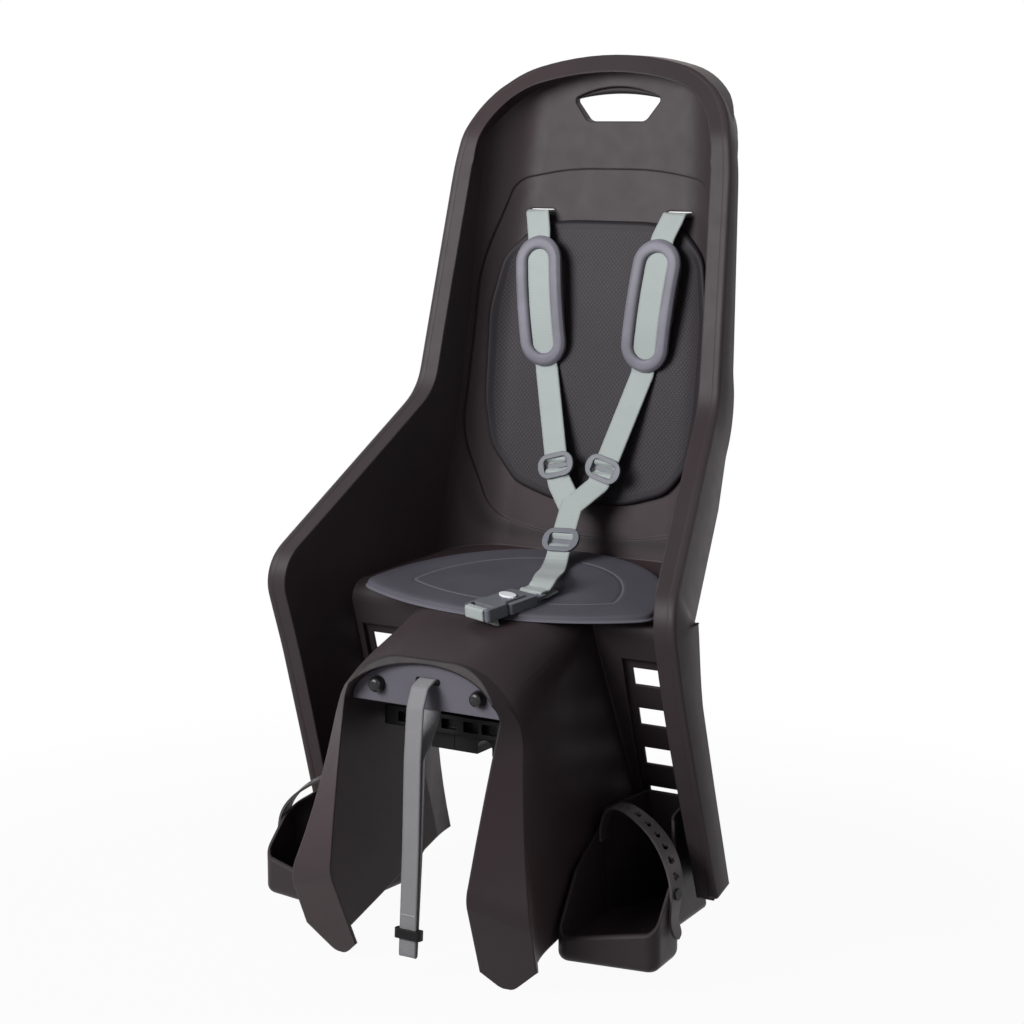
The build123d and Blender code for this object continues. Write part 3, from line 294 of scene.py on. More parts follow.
def foam(name, base, edge_line=None, hatch=0.0):
    """Moulded foam rubber; hatch is the height of its fine diamond grain, edge_line the inset of a lighter
    engraved line."""
    finish = Finish(name)
    place = finish.place()
    inset = finish.parts(finish.strip())[1]
    cloud = finish.noise(place, 14.0, 2.0)
    tint = finish.blend(cloud.above(0.35, 0.3), shade(base, 0.93), shade(base, 1.07))
    height = 0.25 * finish.noise(place, 1900.0, 2.0)
    if hatch:
        x, _, z = finish.parts(place)
        turn = np.pi / (4.2 * MM)
        one = abs(((x + 0.9 * z) * turn).sine())
        two = abs(((x - 0.9 * z) * turn).sine())
        diamond = one.maths("MINIMUM", two) * inset.above(8 * MM, 2 * MM)
        height = height + diamond * hatch
        # painted shade and highlight: the hatch's grooves are painted darker and its raised diamonds lighter
        tint = finish.blend(diamond, shade(base, 0.75), shade(base, 1.7))
    if edge_line:
        near = 1 - abs(inset - edge_line).above(0.3 * MM, 0.8 * MM)
        tint = finish.blend(near * 0.55, tint, shade(base, 2.3))
        lip = 1 - inset.above(1.4 * MM, 0.8 * MM)
        tint = finish.blend(lip * 0.5, tint, shade(base, 1.9))
    finish.set(
        Base_Color=tint,
        Roughness=0.56 - 0.1 * cloud,
        Specular_IOR_Level=0.14,
        Normal=finish.bump(height, 0.16 * MM, 0.8),
    )
    return finish.material


def webbing(name, base, width):
    """Woven webbing: fine ribs across the strap, warp lines along it, a darker selvedge and stray fibres."""
    finish = Finish(name)
    strip = finish.strip()
    across, along = finish.parts(strip)[:2]
    wave = (across * (np.pi / (1.0 * MM))).sine() * 0.9
    rib = (along * (2 * np.pi / (1.5 * MM)) + wave).sine() * 0.5 + 0.5
    warp = (across * (2 * np.pi / (1.0 * MM))).sine() * 0.5 + 0.5
    edge = abs(across).above(width / 2 - 2.2 * MM, 1.2 * MM)
    fibre = finish.noise(strip, 900.0, 3.0)
    patch = finish.noise(strip, 40.0, 2.0)
    weave = rib * 0.6 + warp * 0.4
    tint = finish.blend(weave * 0.7 + fibre * 0.3, shade(base, 0.72), shade(base, 1.16))
    tint = finish.blend(patch.above(0.4, 0.3) * 0.25, tint, shade(base, 0.82))
    tint = finish.blend(edge * 0.45, tint, shade(base, 0.62))
    finish.set(
        Base_Color=tint,
        Roughness=0.78 - 0.14 * weave,
        Specular_IOR_Level=0.25,
        Sheen_Weight=0.25,
        Sheen_Roughness=0.4,
        Normal=finish.bump(weave + 0.3 * fibre, 0.14 * MM, 0.7),
    )
    return finish.material


def soft_rubber(name, base, rough, edge):
    """Matte rubber with a fine grain, slightly paler patches and rounded edges."""
    finish = Finish(name)
    place = finish.place()
    fine = finish.noise(place, 1500.0, 2.0)
    rubbed = finish.noise(place, 28.0, 3.0)
    finish.set(
        Base_Color=finish.blend(rubbed.above(0.4, 0.3), shade(base, 0.9), shade(base, 1.12)),
        Roughness=rough + 0.1 * rubbed,
        Specular_IOR_Level=0.25,
        Normal=finish.bump(fine, 0.05 * MM, 0.5, finish.rounding(edge)),
    )
    return finish.material


def black_bolt(name):
    """Glossy black lacquered steel with faint wear."""
    finish = Finish(name)
    wear = finish.noise(finish.place(), 180.0, 4.0)
    finish.set(
        Base_Color=finish.blend(wear.above(0.62, 0.12), (0.008, 0.008, 0.009, 1), (0.03, 0.03, 0.032, 1)),
        Roughness=0.2 + 0.16 * wear,
        Specular_IOR_Level=0.3,
        Coat_Weight=0.12,
        Coat_Roughness=0.12,
        Normal=finish.bump(wear, 0.04 * MM, 0.3, finish.rounding(0.8 * MM)),
    )
    return finish.material


# ---------------------------------------------------------------- surfaces


def unit(vectors):
    """Vectors scaled to a length of one."""
    return vectors / np.linalg.norm(vectors, axis=-1, keepdims=True)


def run_length(path):
    """Distance along a path at each of its points."""
    return np.concatenate([[0], np.cumsum(np.linalg.norm(np.diff(path, axis=0), axis=1))])


def spread(*parts):
    """Grid of points from their parts, each one repeated over the others' rows or columns."""
    return np.stack(np.broadcast_arrays(*parts), axis=-1)


def wrapped(index):
    """Grid of point numbers whose first column also follows its last."""
    return np.concatenate([index, index[..., :1]], axis=-1)


def cells(index):
    """Faces between neighbouring rows and columns of a grid of point numbers."""
    low, high = index[..., :-1, :], index[..., 1:, :]
    corners = (low[..., :-1], low[..., 1:], high[..., 1:], high[..., :-1])
    return np.stack(corners, axis=-1).reshape(-1, 4).tolist()


def surface(name, points, strip, loop_rows=False, loop_columns=False, ends=False):
    """Object from a grid of points: each cell of the grid is one face, rows or columns may close on
    themselves, and open ends of a closed profile get a cap. strip holds the map's two lengths for each
    point."""
    rows, columns = points.shape[:2]
    index = np.arange(rows * columns).reshape(rows, columns)
    grid = wrapped(index) if loop_columns else index
    faces = cells(np.concatenate([grid, grid[:1]]) if loop_rows else grid)
    if ends:
        faces += [index[0, ::-1].tolist(), index[-1].tolist()]
    return mesh_piece(name, points.reshape(-1, 3), faces, strip.reshape(-1, 2))


def mesh_piece(name, points, faces, strip, sharp=None):
    """Object from points and faces, turned to face outwards, smooth up to the angle sharp, with its strip
    map."""
    mesh = bpy.data.meshes.new(name)
    mesh.from_pydata(points, [], faces)
    corners = np.empty(len(mesh.loops), np.int32)
    mesh.loops.foreach_get("vertex_index", corners)
    places = np.ascontiguousarray(strip[corners], np.float32)
    mesh.uv_layers.new(name="strip").uv.foreach_set("vector", places.ravel())
    made = bmesh.new()
    made.from_mesh(mesh)
    bmesh.ops.remove_doubles(made, verts=made.verts, dist=1e-6)
    bmesh.ops.recalc_face_normals(made, faces=made.faces)
    made.to_mesh(mesh)
    made.free()
    mesh.shade_smooth()
    if sharp is not None:
        mesh.set_sharp_from_angle(angle=np.radians(sharp))
    piece = bpy.data.objects.new(name, mesh)
    bpy.context.scene.collection.objects.link(piece)
    return piece


def bell(length, ease, step):
    """Weights of a bell-shaped window, ease wide, for samples a step apart."""
    reach = max(int(np.ceil(3 * ease / step)), 1)
    offsets = np.arange(-reach, reach + 1) * step
    weights = np.exp(-0.5 * (offsets / ease) ** 2)
    return weights / weights.sum(), min(reach, length - 1)


def eased_path(corners, ease, step=1.0 * MM, closed=False):
    """Straight runs through corners, sampled every step and averaged with a bell-shaped window, so each
    corner becomes a bend about ease wide. The ends stay where they are, and a closed path wraps round."""
    corners = np.asarray(corners, float)
    if closed:
        corners = np.concatenate([corners, corners[:1]])
    length = run_length(corners)
    count = int(length[-1] / step) + 2
    at = np.linspace(0, length[-1], count)
    points = np.stack([np.interp(at, length, axis) for axis in corners.T], axis=1)
    if closed:
        points = points[:-1]
    weights, reach = bell(len(points), ease, length[-1] / (count - 1))
    if closed:
        wide = np.concatenate([points[-reach:], points, points[:reach]])
    else:
        head = 2 * points[0] - points[reach:0:-1]
        tail = 2 * points[-1] - points[-2:-reach - 2:-1]
        wide = np.concatenate([head, points, tail])
    return np.stack([np.convolve(axis, weights, "valid") for axis in wide.T], axis=1)


def directions(path, across, closed=False):
    """Unit vectors along a path, across it and out of it."""
    if closed:
        along = unit(np.roll(path, -1, axis=0) - np.roll(path, 1, axis=0))
    else:
        along = unit(np.gradient(path, axis=0))
    across = np.broadcast_to(np.asarray(across, float), path.shape)
    across = unit(across - along * (along * across).sum(axis=1, keepdims=True))
    return along, across, np.cross(across, along)


def flat_profile(width, thickness, swell):
    """Cross-section of webbing: two flat sides, a little thicker at the edges by swell, and round edges."""
    half = (width - thickness) / 2
    run = np.linspace(-half, half, 13)
    lift = thickness / 2 + swell * (np.abs(run) / half) ** 8
    turn = np.linspace(np.pi / 2, -np.pi / 2, 7)[1:-1]
    edge_x = half + np.cos(turn) * lift[-1]
    edge_y = np.sin(turn) * lift[-1]
    x = np.concatenate([run, edge_x, run[::-1], -edge_x])
    y = np.concatenate([lift, edge_y, -lift[::-1], -edge_y])
    return x, y


def strap(name, path, across, width, thickness, closed=False):
    """Flat strap: the webbing's cross-section carried along a path, its width along across."""
    _, side, out = directions(path, across, closed)
    x, y = flat_profile(width, thickness, 0.12 * thickness)
    points = path[:, None] + side[:, None] * x[None, :, None] + out[:, None] * y[None, :, None]
    strip = spread(x[None], run_length(path)[:, None])
    return surface(name, points, strip, loop_rows=closed, loop_columns=True, ends=not closed)


def threads(name, starts, ends, radius):
    """Sewing stitches: each one a short six-sided thread from its start to its end, thinner at both."""
    share = np.linspace(0, 1, 5)
    turn = np.arange(6) * np.pi / 3
    along = unit(ends - starts)
    side = unit(np.cross(along, np.array([0.0, 0.0, 1.0]) + 0.01))
    lift = np.cross(side, along)
    girth = radius * np.sin(np.pi * np.clip(share, 0.08, 0.92)) ** 0.5
    middle = starts[:, None] + (ends - starts)[:, None] * share[None, :, None]
    ring = side[:, None] * np.cos(turn)[:, None] + lift[:, None] * np.sin(turn)[:, None]
    points = middle[:, :, None] + ring[:, None] * girth[None, :, None, None]
    index = np.arange(len(starts) * 30).reshape(-1, 5, 6)
    caps = np.concatenate([index[:, 0, ::-1], index[:, -1]])
    flat = points.reshape(-1, 3)
    return mesh_piece(name, flat, cells(wrapped(index)) + caps.tolist(), flat[:, :2])


def dress(material, slot, *names):
    """Give solids their finish. The argument slot is not used."""
    for name in names:
        node = NODES[name]
        node.data.materials.clear()
        node.data.materials.append(material)


def place_piece(piece, body, slot, material, *nodes):
    """Finish a modelled piece: material, moving body and the solids it stands for. The argument slot is not
    used.
    """
    piece.data.materials.append(material)
    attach(piece, body)
    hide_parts(*nodes)


# ---------------------------------------------------------------- shape of the seat


BUCKET_Z = np.array([-140.0, -40, 60, 140, 350, 460, 560, 660]) * MM
BUCKET_HALF = np.array([226.0, 214, 203, 198, 198, 197.5, 197, 193]) * MM
BUCKET_ROUND = np.array([60.0, 60, 60, 60, 46, 49, 52, 80]) * MM
FLARE = 0.28
FLARE_LEAN = np.hypot(1, FLARE)

RECLINE = 0.139
BACK_Y, BACK_Z = 225 * MM, 152 * MM
CURL, CURL_Z = 0.0006 / MM, 560 * MM

PAN_SLOPE = 0.136
PAN_LEAN = np.hypot(1, PAN_SLOPE)
PAN_UP = np.array([0, -PAN_SLOPE, 1]) / PAN_LEAN
PAN_Y, PAN_Z = 25 * MM, 112.5 * MM

# rim: corners seen from the side as depth and height, their radii, and the head's round shoulder from the front
RIM_CORNERS = np.array([(310.0, 690.0), (232, 556), (176, 302), (-17, 145), (73.9, -137.5)])
RIM_ROUNDS = (60, 60, 45)
RIM_WIDTH = 17 * MM
RIM_STEP = 2.5 * MM
HEAD_X, HEAD_Z, HEAD_ROUND = 55.4 * MM, 532.5 * MM, 94 * MM


def back_y(height):
    """Depth of the backrest: a straight recline that curls forward above the strap slots."""
    return BACK_Y + RECLINE * (height - BACK_Z) - CURL * np.maximum(height - CURL_Z, 0) ** 2


def bucket_y(x, height):
    """Depth of the bucket's inner face: flat back, a round corner, then the flared side."""
    half = np.interp(height, BUCKET_Z, BUCKET_HALF)
    radius = np.interp(height, BUCKET_Z, BUCKET_ROUND)
    centre_y = back_y(height) - radius
    centre_x = half - FLARE * centre_y - radius * FLARE_LEAN
    reach = np.clip(np.abs(x) - centre_x, 0, radius / FLARE_LEAN)
    return centre_y + np.sqrt(radius**2 - reach**2)


def pan_z(depth):
    """Height of the flat part of the seat pan."""
    return PAN_Z + PAN_SLOPE * (depth - PAN_Y)


def rings(outline, insets):
    """Rings inside a closed outline: each one the outline moved straight in by an inset, which past the first
    10 mm draws it towards the middle."""
    straight = 10 * MM
    along = unit(np.roll(outline, -1, axis=0) - np.roll(outline, 1, axis=0))
    inward = np.stack([-along[:, 1], along[:, 0]], axis=1)
    middle = outline.mean(axis=0)
    if ((middle - outline) * inward).sum() < 0:
        inward = -inward
    near = np.minimum(insets, straight)
    edge = outline[None] + inward[None] * near[:, None, None]
    reach = np.linalg.norm(outline - middle, axis=1)
    share = np.clip((insets - near)[:, None] / (reach.min() - straight), 0, 1)
    return edge + (middle - edge) * share[..., None]


def arc(start, middle, end, count):
    """Points on the circle through three points, from the first to the last."""
    (ax, ay), (bx, by), (cx, cy) = start, middle, end
    twice = 2 * (ax * (by - cy) + bx * (cy - ay) + cx * (ay - by))
    first, second, third = ax * ax + ay * ay, bx * bx + by * by, cx * cx + cy * cy
    ux = (first * (by - cy) + second * (cy - ay) + third * (ay - by)) / twice
    uy = (first * (cx - bx) + second * (ax - cx) + third * (bx - ax)) / twice
    radius = np.hypot(ax - ux, ay - uy)
    angles = np.unwrap(np.arctan2(np.array([ay, by, cy]) - uy, np.array([ax, bx, cx]) - ux))
    turn = np.interp(np.linspace(0, 2, count), [0, 1, 2], angles)
    return np.stack([ux + radius * np.cos(turn), uy + radius * np.sin(turn)], axis=1)


def rim_side():
    """Rim seen from the side, as depth and height: straight runs joined by arcs, from the head to the wing's
    end."""
    runs = [RIM_CORNERS[:1]]
    for before, corner, after, radius in zip(RIM_CORNERS, RIM_CORNERS[1:], RIM_CORNERS[2:], RIM_ROUNDS):
        one, two = unit(before - corner), unit(after - corner)
        half = np.arccos(one @ two) / 2
        touch = radius / np.tan(half)
        middle = corner + unit(one + two) * radius * (1 / np.sin(half) - 1)
        runs.append(arc(corner + one * touch, middle, corner + two * touch, 24))
    return eased_path(np.concatenate([*runs, RIM_CORNERS[-1:]]) * MM, 1.5 * MM, RIM_STEP)


def profile(insets, corners):
    """Height at each inset, in straight runs between corners given as inset and height in millimetres."""
    at, heights = np.asarray(corners).T
    return np.interp(insets / MM, at, heights) * MM


BUCKLE_TURN = np.radians(16.8)
BUCKLE_X = unit(np.array([np.cos(BUCKLE_TURN), -np.sin(BUCKLE_TURN), -np.sin(BUCKLE_TURN) * PAN_SLOPE]))
BUCKLE_Y = np.cross(PAN_UP, BUCKLE_X)
BUCKLE_LIFT = 7.3 * MM * PAN_LEAN + 0.05 * MM
BUCKLE_ORIGIN = np.array([21.5 * MM, 27 * MM, pan_z(27 * MM) + BUCKLE_LIFT])


def in_buckle(points):
    """Points given in the buckle's own plane, in millimetres: across it, towards the tongue and up."""
    return BUCKLE_ORIGIN + np.asarray(points, float) * MM @ np.stack([BUCKLE_X, BUCKLE_Y, PAN_UP])


SHOULDER_TOP = np.array([70.3, 250.3, 458.0]) * MM
SHOULDER_FOOT = np.array([54.7, 239.7, 322.0]) * MM
SLIDER_POINT = np.array([27.0, 214.0, 229.0]) * MM
STRAP_JOINT = np.array([4.0, 198.0, 194.0]) * MM
JOINT_OUT = np.array([0, -0.87, 0.49])
LAP_START = np.array([0.0, 199.4, 197.2]) * MM
LAP_JOINT = np.array([0.0, 197.0, 193.0]) * MM
LAP_SLIDER = np.array([2.0, 174.0, 161.0]) * MM
SLIDER_RUN = 16 * MM
SLOT_X, SLOT_Z = 78 * MM, 478 * MM


def over_slider(path, across, centre):
    """Path rolled over the middle bar of a slider: a round hump at the bar, with a dip on each side of it."""
    _, _, out = directions(path, across)
    gap = np.linalg.norm(path - centre, axis=1)
    roll = 2.5 * MM * np.exp(-((gap / (4.3 * MM)) ** 4))
    dip = 1.4 * MM * np.exp(-(((gap - 6.9 * MM) / (1.7 * MM)) ** 2))
    return path + out * (roll - dip)[:, None]


def shoulder_axes():
    """Middle of a shoulder pad and its directions across, up and out."""
    up = unit(SHOULDER_TOP - SHOULDER_FOOT)
    across = unit(np.array([1.0, 0, 0]) - up * up[0])
    return (SHOULDER_TOP + SHOULDER_FOOT) / 2, across, up, np.cross(across, up)


def shoulder_arch(height):
    """How far a shoulder pad and its strap arch outwards at a height above or below the pad's middle."""
    return 6.2 * MM * (1 - np.minimum((height / (68 * MM)) ** 2, 1)) - 1.4 * MM


# ---------------------------------------------------------------- operators


class CHILDSEAT_OT_shell(bpy.types.Operator):
    """Finish the moulded shell and the footrests"""

    bl_idname = "childseat.shell"
    bl_label = "Shell and footrests"

    def execute(self, context):
        look = context.scene.child_seat.finishes
        shell = moulded_plastic(
            "shell_plastic", look.shell_colour, look.edge_radius, warm=0.12, backrest=True
        )
        dress(shell, "shell_plastic", "shell")
        tray = moulded_plastic("footrest_plastic", look.shell_colour, look.edge_radius)
        dress(tray, "footrest_plastic", "footrest_left", "footrest_right")
        return {"FINISHED"}


class CHILDSEAT_OT_grip(bpy.types.Operator):
    """Model the rounded grip along the top of the hand hole"""

    bl_idname = "childseat.grip"
    bl_label = "Grip of the hand hole"

    def execute(self, context):
        look = context.scene.child_seat.finishes
        piece = surface("hand_hole_grip", *self.bar(), loop_columns=True, ends=True)
        # painted shade: the grip is the shell's plastic at half its colour, in place of the shaded inner wall
        # of the hole
        material = moulded_plastic("grip_plastic_shaded", shade(look.shell_colour, 0.5)[:3], 0.8 * MM, rough=0.5)
        place_piece(piece, "seat", "shell_plastic", material)
        return {"FINISHED"}

    def bar(self):
        """Lines across the hole, each a share of the way from the arc of its top to a flatter arc below, and
        each at its own depth behind the backrest's face, so that together they make a round bar."""
        top = arc((-50.5, 591.5), (0, 604.5), (50.5, 591.5), 61) * MM
        foot = arc((-50.5, 590.5), (0, 596.0), (50.5, 590.5), 61) * MM
        deep = np.array([3.2, 3.0, 3.6, 5.0, 7.5, 9.6, 10.6, 10.2]) * MM
        share = np.array([0.0, 0.6, 0.9, 1.0, 1.0, 0.9, 0.5, 0.0])
        plan = top[:, None] + (foot - top)[:, None] * share[None, :, None]
        x, z = plan[..., 0], plan[..., 1]
        return np.stack([x, back_y(z) + deep, z], axis=-1), spread(x, deep)


class CHILDSEAT_OT_rim_skirts(bpy.types.Operator):
    """Model the deep skirt that turns back from the rim on each side"""

    bl_idname = "childseat.rim_skirts"
    bl_label = "Rim skirts"

    TOP, EASE, LEAST = 625 * MM, 24 * MM, 8 * MM
    SHARE_Z = np.array([-140, 40, 140, 250, 340, 540, 590]) * MM
    SHARE = (0.8, 1.0, 1.45, 1.45, 0.85, 0.5, 0.85)

    def execute(self, context):
        settings = context.scene.child_seat
        material = moulded_plastic("skirt_plastic", settings.finishes.shell_colour, 0.8 * MM, warm=0.12)
        points, strip = self.skirt(settings.sizes)
        for side, sign in SIDES:
            piece = surface(f"rim_skirt_{side}", points * [sign, 1, 1], strip, loop_columns=True, ends=True)
            place_piece(piece, "seat", "shell_plastic", material)
        return {"FINISHED"}

    def rim_edge(self, depth, height):
        """Half width at the rim's outer edge: the flared side, cut by the head's round shoulder, then averaged
        with a bell-shaped window."""
        side = np.interp(height, BUCKET_Z, BUCKET_HALF) - FLARE * depth + RIM_WIDTH * FLARE_LEAN
        shoulder = HEAD_X + np.sqrt(HEAD_ROUND**2 - np.maximum(height - HEAD_Z, 0) ** 2)
        edge = np.where(height > HEAD_Z, np.minimum(side, shoulder), side)
        weights, reach = bell(len(edge), 10 * MM, RIM_STEP)
        return np.convolve(np.pad(edge, reach, "reflect", reflect_type="odd"), weights, "valid")

    def skirt(self, sizes):
        """Hooked cross-section carried down the rim: flush with the rim's front, round over its outer edge,
        then straight back for the skirt's depth, which changes with the height by SHARE."""
        path = rim_side()
        path = path[path[:, 1] < self.TOP]
        depth, height = path.T
        along = unit(np.gradient(path, axis=0))
        inward = np.stack([-along[:, 1], along[:, 0]], axis=1)
        grown = np.clip((self.TOP - height) / self.EASE, 0, 1)
        grown = (grown * grown * (3 - 2 * grown))[:, None]
        out = sizes.skirt_stand * grown
        deep = (np.interp(height, self.SHARE_Z, self.SHARE) * sizes.skirt_depth)[:, None]
        deep = self.LEAST + (deep - self.LEAST) * grown
        # the section's points: distance behind the rim's front, then distance out from its edge
        base = np.array([0.4, -0.2, -0.25, 0.15, 0.9, 2.4]) * MM
        back = np.array([0, 1.5, 0.4, 0, 0, 0.8]) * MM
        share = np.array([0.5, 1, 1, 1, 1, 1])
        buried = np.minimum(deep - 2 * MM, 19 * MM)
        reach = np.concatenate([base + 0 * deep, deep * share - back, buried, 3.2 * MM + 0 * deep], axis=1)
        rise = np.array([-5.5, -4.0, -3.0, -1.4, -0.5, 0.0]) * MM
        fall = np.array([0, 0, -0.5, -1.5, -2.8, -3.4]) * MM
        inside = -FLARE * inward[:, :1] * buried - 0.8 * MM
        stand = [rise[:2] + 0 * out, out + rise[2:], out + fall, inside, -2 * MM + 0 * out]
        x = self.rim_edge(depth, height)[:, None] + np.concatenate(stand, axis=1)
        y = depth[:, None] + inward[:, :1] * reach
        z = height[:, None] + inward[:, 1:] * reach
        return np.stack([x, y, z], axis=-1), spread(reach, run_length(path)[:, None])


class CHILDSEAT_OT_hardware(bpy.types.Operator):
    """Finish the front plate, bolts, carrier clamp and small fittings"""

    bl_idname = "childseat.hardware"
    bl_label = "Plate, clamp and fittings"

    BOLTS = ("front_bolts", "front_nuts", "clamp_spindle", "strap_anchor_left", "strap_anchor_right")
    CLAMP = (
        "clamp_beam", "clamp_jaw_left", "clamp_jaw_right", "clamp_knob", "safety_strap_slider",
        "footrest_latch_left", "footrest_latch_right", "strap_stud_left", "strap_stud_right",
    )

    def execute(self, context):
        look = context.scene.child_seat.finishes
        plate = moulded_plastic("plate_plastic", look.plate_colour, 0.9 * MM, grain=0.06)
        dress(plate, "plate_plastic", "front_plate")
        dress(black_bolt("bolt_steel"), "bolt_steel", *self.BOLTS)
        clamp = moulded_plastic("clamp_plastic", look.clamp_colour, 0.8 * MM, rough=0.4)
        dress(clamp, "clamp_plastic", *self.CLAMP)
        return {"FINISHED"}


class CHILDSEAT_OT_buckle(bpy.types.Operator):
    """Finish the buckle, its button and the strap sliders"""

    bl_idname = "childseat.buckle"
    bl_label = "Buckle and sliders"

    def execute(self, context):
        look = context.scene.child_seat.finishes
        plastic = moulded_plastic("buckle_plastic", look.buckle_colour, 1.1 * MM, rough=0.36, grain=0.05)
        dress(plastic, "buckle_plastic", "buckle_body", "buckle_tongue")
        button = moulded_plastic("button_plastic", look.button_colour, 0.8 * MM, rough=0.34, grain=0.02)
        dress(button, "button_plastic", "buckle_button")
        slider = moulded_plastic("slider_plastic", look.buckle_colour, 1.3 * MM, rough=0.36, grain=0.05)
        dress(slider, "slider_plastic", "strap_slider_left", "strap_slider_right", "junction_slider")
        return {"FINISHED"}


class CHILDSEAT_OT_back_pad(bpy.types.Operator):
    """Model the foam pad of the backrest"""

    bl_idname = "childseat.back_pad"
    bl_label = "Backrest pad"

    RIGHT = np.array(
        [
            (0, 471), (45, 471), (84, 466), (113.5, 436), (123.5, 380), (123, 288), (115, 240), (88, 205),
            (40, 190.5),
        ]
    )
    INSETS = np.array([0, 0, 0.25, 0.8, 1.6, 2.6, 3.8, 5.2, 7, 9.5, 13, 18, 25, 35, 48, 62, 78, 96, 116]) * MM
    CORNERS = ((0, 0.6), (0.25, 1.6), (0.8, 2.9), (1.6, 3.9), (2.6, 4.55), (3.8, 4.9), (5.2, 5.0), (200, 5.0))
    CORNER_HEIGHT = 5 * MM
    SUNK = 1.1 * MM

    def execute(self, context):
        sizes = context.scene.child_seat.sizes
        look = context.scene.child_seat.finishes
        piece = surface("backrest_foam", *self.pad(sizes), loop_columns=True, ends=True)
        material = foam("back_pad", look.pad_colour, hatch=1.0)
        place_piece(piece, "seat", "back_pad", material, "backrest_pad")
        return {"FINISHED"}

    def pad(self, sizes):
        """Rings inside the outline, each raised from the bucket's face by the height at its inset, and behind
        them the same rings sunk into the face."""
        corners = np.concatenate([self.RIGHT, [(0, 190.5)], self.RIGHT[:0:-1] * [-1, 1]])
        outline = eased_path(corners * MM, 8.5 * MM, 2.2 * MM, True)
        heights = profile(self.INSETS, self.CORNERS) * (sizes.back_pad_height / self.CORNER_HEIGHT)
        heights[0] = -self.SUNK
        plan = rings(outline, self.INSETS)
        x, z = plan[..., 0], plan[..., 1]
        rear = bucket_y(x, z)
        front = np.stack([x, rear - heights[:, None] * np.hypot(1, RECLINE), z], axis=-1)
        behind = np.stack([x, rear + self.SUNK, z], axis=-1)
        strip = spread(x, self.INSETS[:, None])
        return np.concatenate([behind[:0:-1], front]), np.concatenate([strip[:0:-1], strip])


class CHILDSEAT_OT_seat_pad(bpy.types.Operator):
    """Model the foam pad of the seat with its lip and engraved line"""

    bl_idname = "childseat.seat_pad"
    bl_label = "Seat pad"

    FRONT, BACK = -3.0, 194.0
    FRONT_ROUND, BACK_ROUND = 330.0, 162.0
    CORNER_HEIGHT = 7 * MM

    def execute(self, context):
        sizes = context.scene.child_seat.sizes
        look = context.scene.child_seat.finishes
        piece = surface("seat_foam", *self.pad(sizes), loop_columns=True, ends=True)
        material = foam("seat_pad", look.seat_pad_colour, edge_line=sizes.groove_inset)
        place_piece(piece, "seat", "seat_pad", material, "seat_pad")
        return {"FINISHED"}

    def outline(self):
        """Flat arc in front and rounder arc behind, through the two points where their circles meet."""
        front_y, back_y = self.FRONT + self.FRONT_ROUND, self.BACK - self.BACK_ROUND
        squares = self.BACK_ROUND**2 - self.FRONT_ROUND**2 - back_y**2 + front_y**2
        tip_y = squares / (2 * (front_y - back_y))
        tip_x = np.sqrt(self.BACK_ROUND**2 - (tip_y - back_y) ** 2)
        near = arc((-tip_x, tip_y), (0, self.FRONT), (tip_x, tip_y), 110)
        far = arc((tip_x, tip_y), (0, self.BACK), (-tip_x, tip_y), 130)
        return eased_path(np.concatenate([near, far[1:-1]]) * MM, 9 * MM, 2.2 * MM, True)

    def pad(self, sizes):
        """Rings inside the outline, each raised from the sloping pan by the height at its inset: a thin lip, a
        round edge and a flat top with the engraved line."""
        groove = sizes.groove_inset / MM
        edge = [0, 0, 0.3, 0.9, 1.5, 1.9, 2.2, 2.8, 3.8, 5.2, 7.5, 10.5, 15, 21]
        line = groove + np.array([-3, -1.2, -0.7, -0.3, 0, 0.3, 0.7, 1.2, 3, 9, 19, 32, 48])
        insets = np.concatenate([edge, line]) * MM
        corners = (
            (0, 0.7), (0.3, 1.25), (0.9, 1.6), (1.5, 1.7), (1.9, 2.3), (2.2, 3.9), (2.8, 5.1), (3.8, 5.9),
            (5.2, 6.4), (7.5, 6.7), (10.5, 6.86), (15, 6.93), (groove - 1.2, 6.95), (groove - 0.3, 6.35),
            (groove + 0.3, 6.35), (groove + 1.2, 6.95), (300, 6.95),
        )
        heights = profile(insets, corners) * (sizes.seat_pad_height / self.CORNER_HEIGHT)
        heights[0] = 0.05 * MM
        plan = rings(self.outline(), insets)
        along = np.array([0, 1, PAN_SLOPE]) / PAN_LEAN
        origin = np.array([0, PAN_Y, PAN_Z + 0.3 * MM])
        points = origin + plan[..., :1] * np.array([1.0, 0, 0]) + plan[..., 1:] * along
        return points + heights[:, None, None] * PAN_UP, spread(plan[..., 0], insets[:, None])


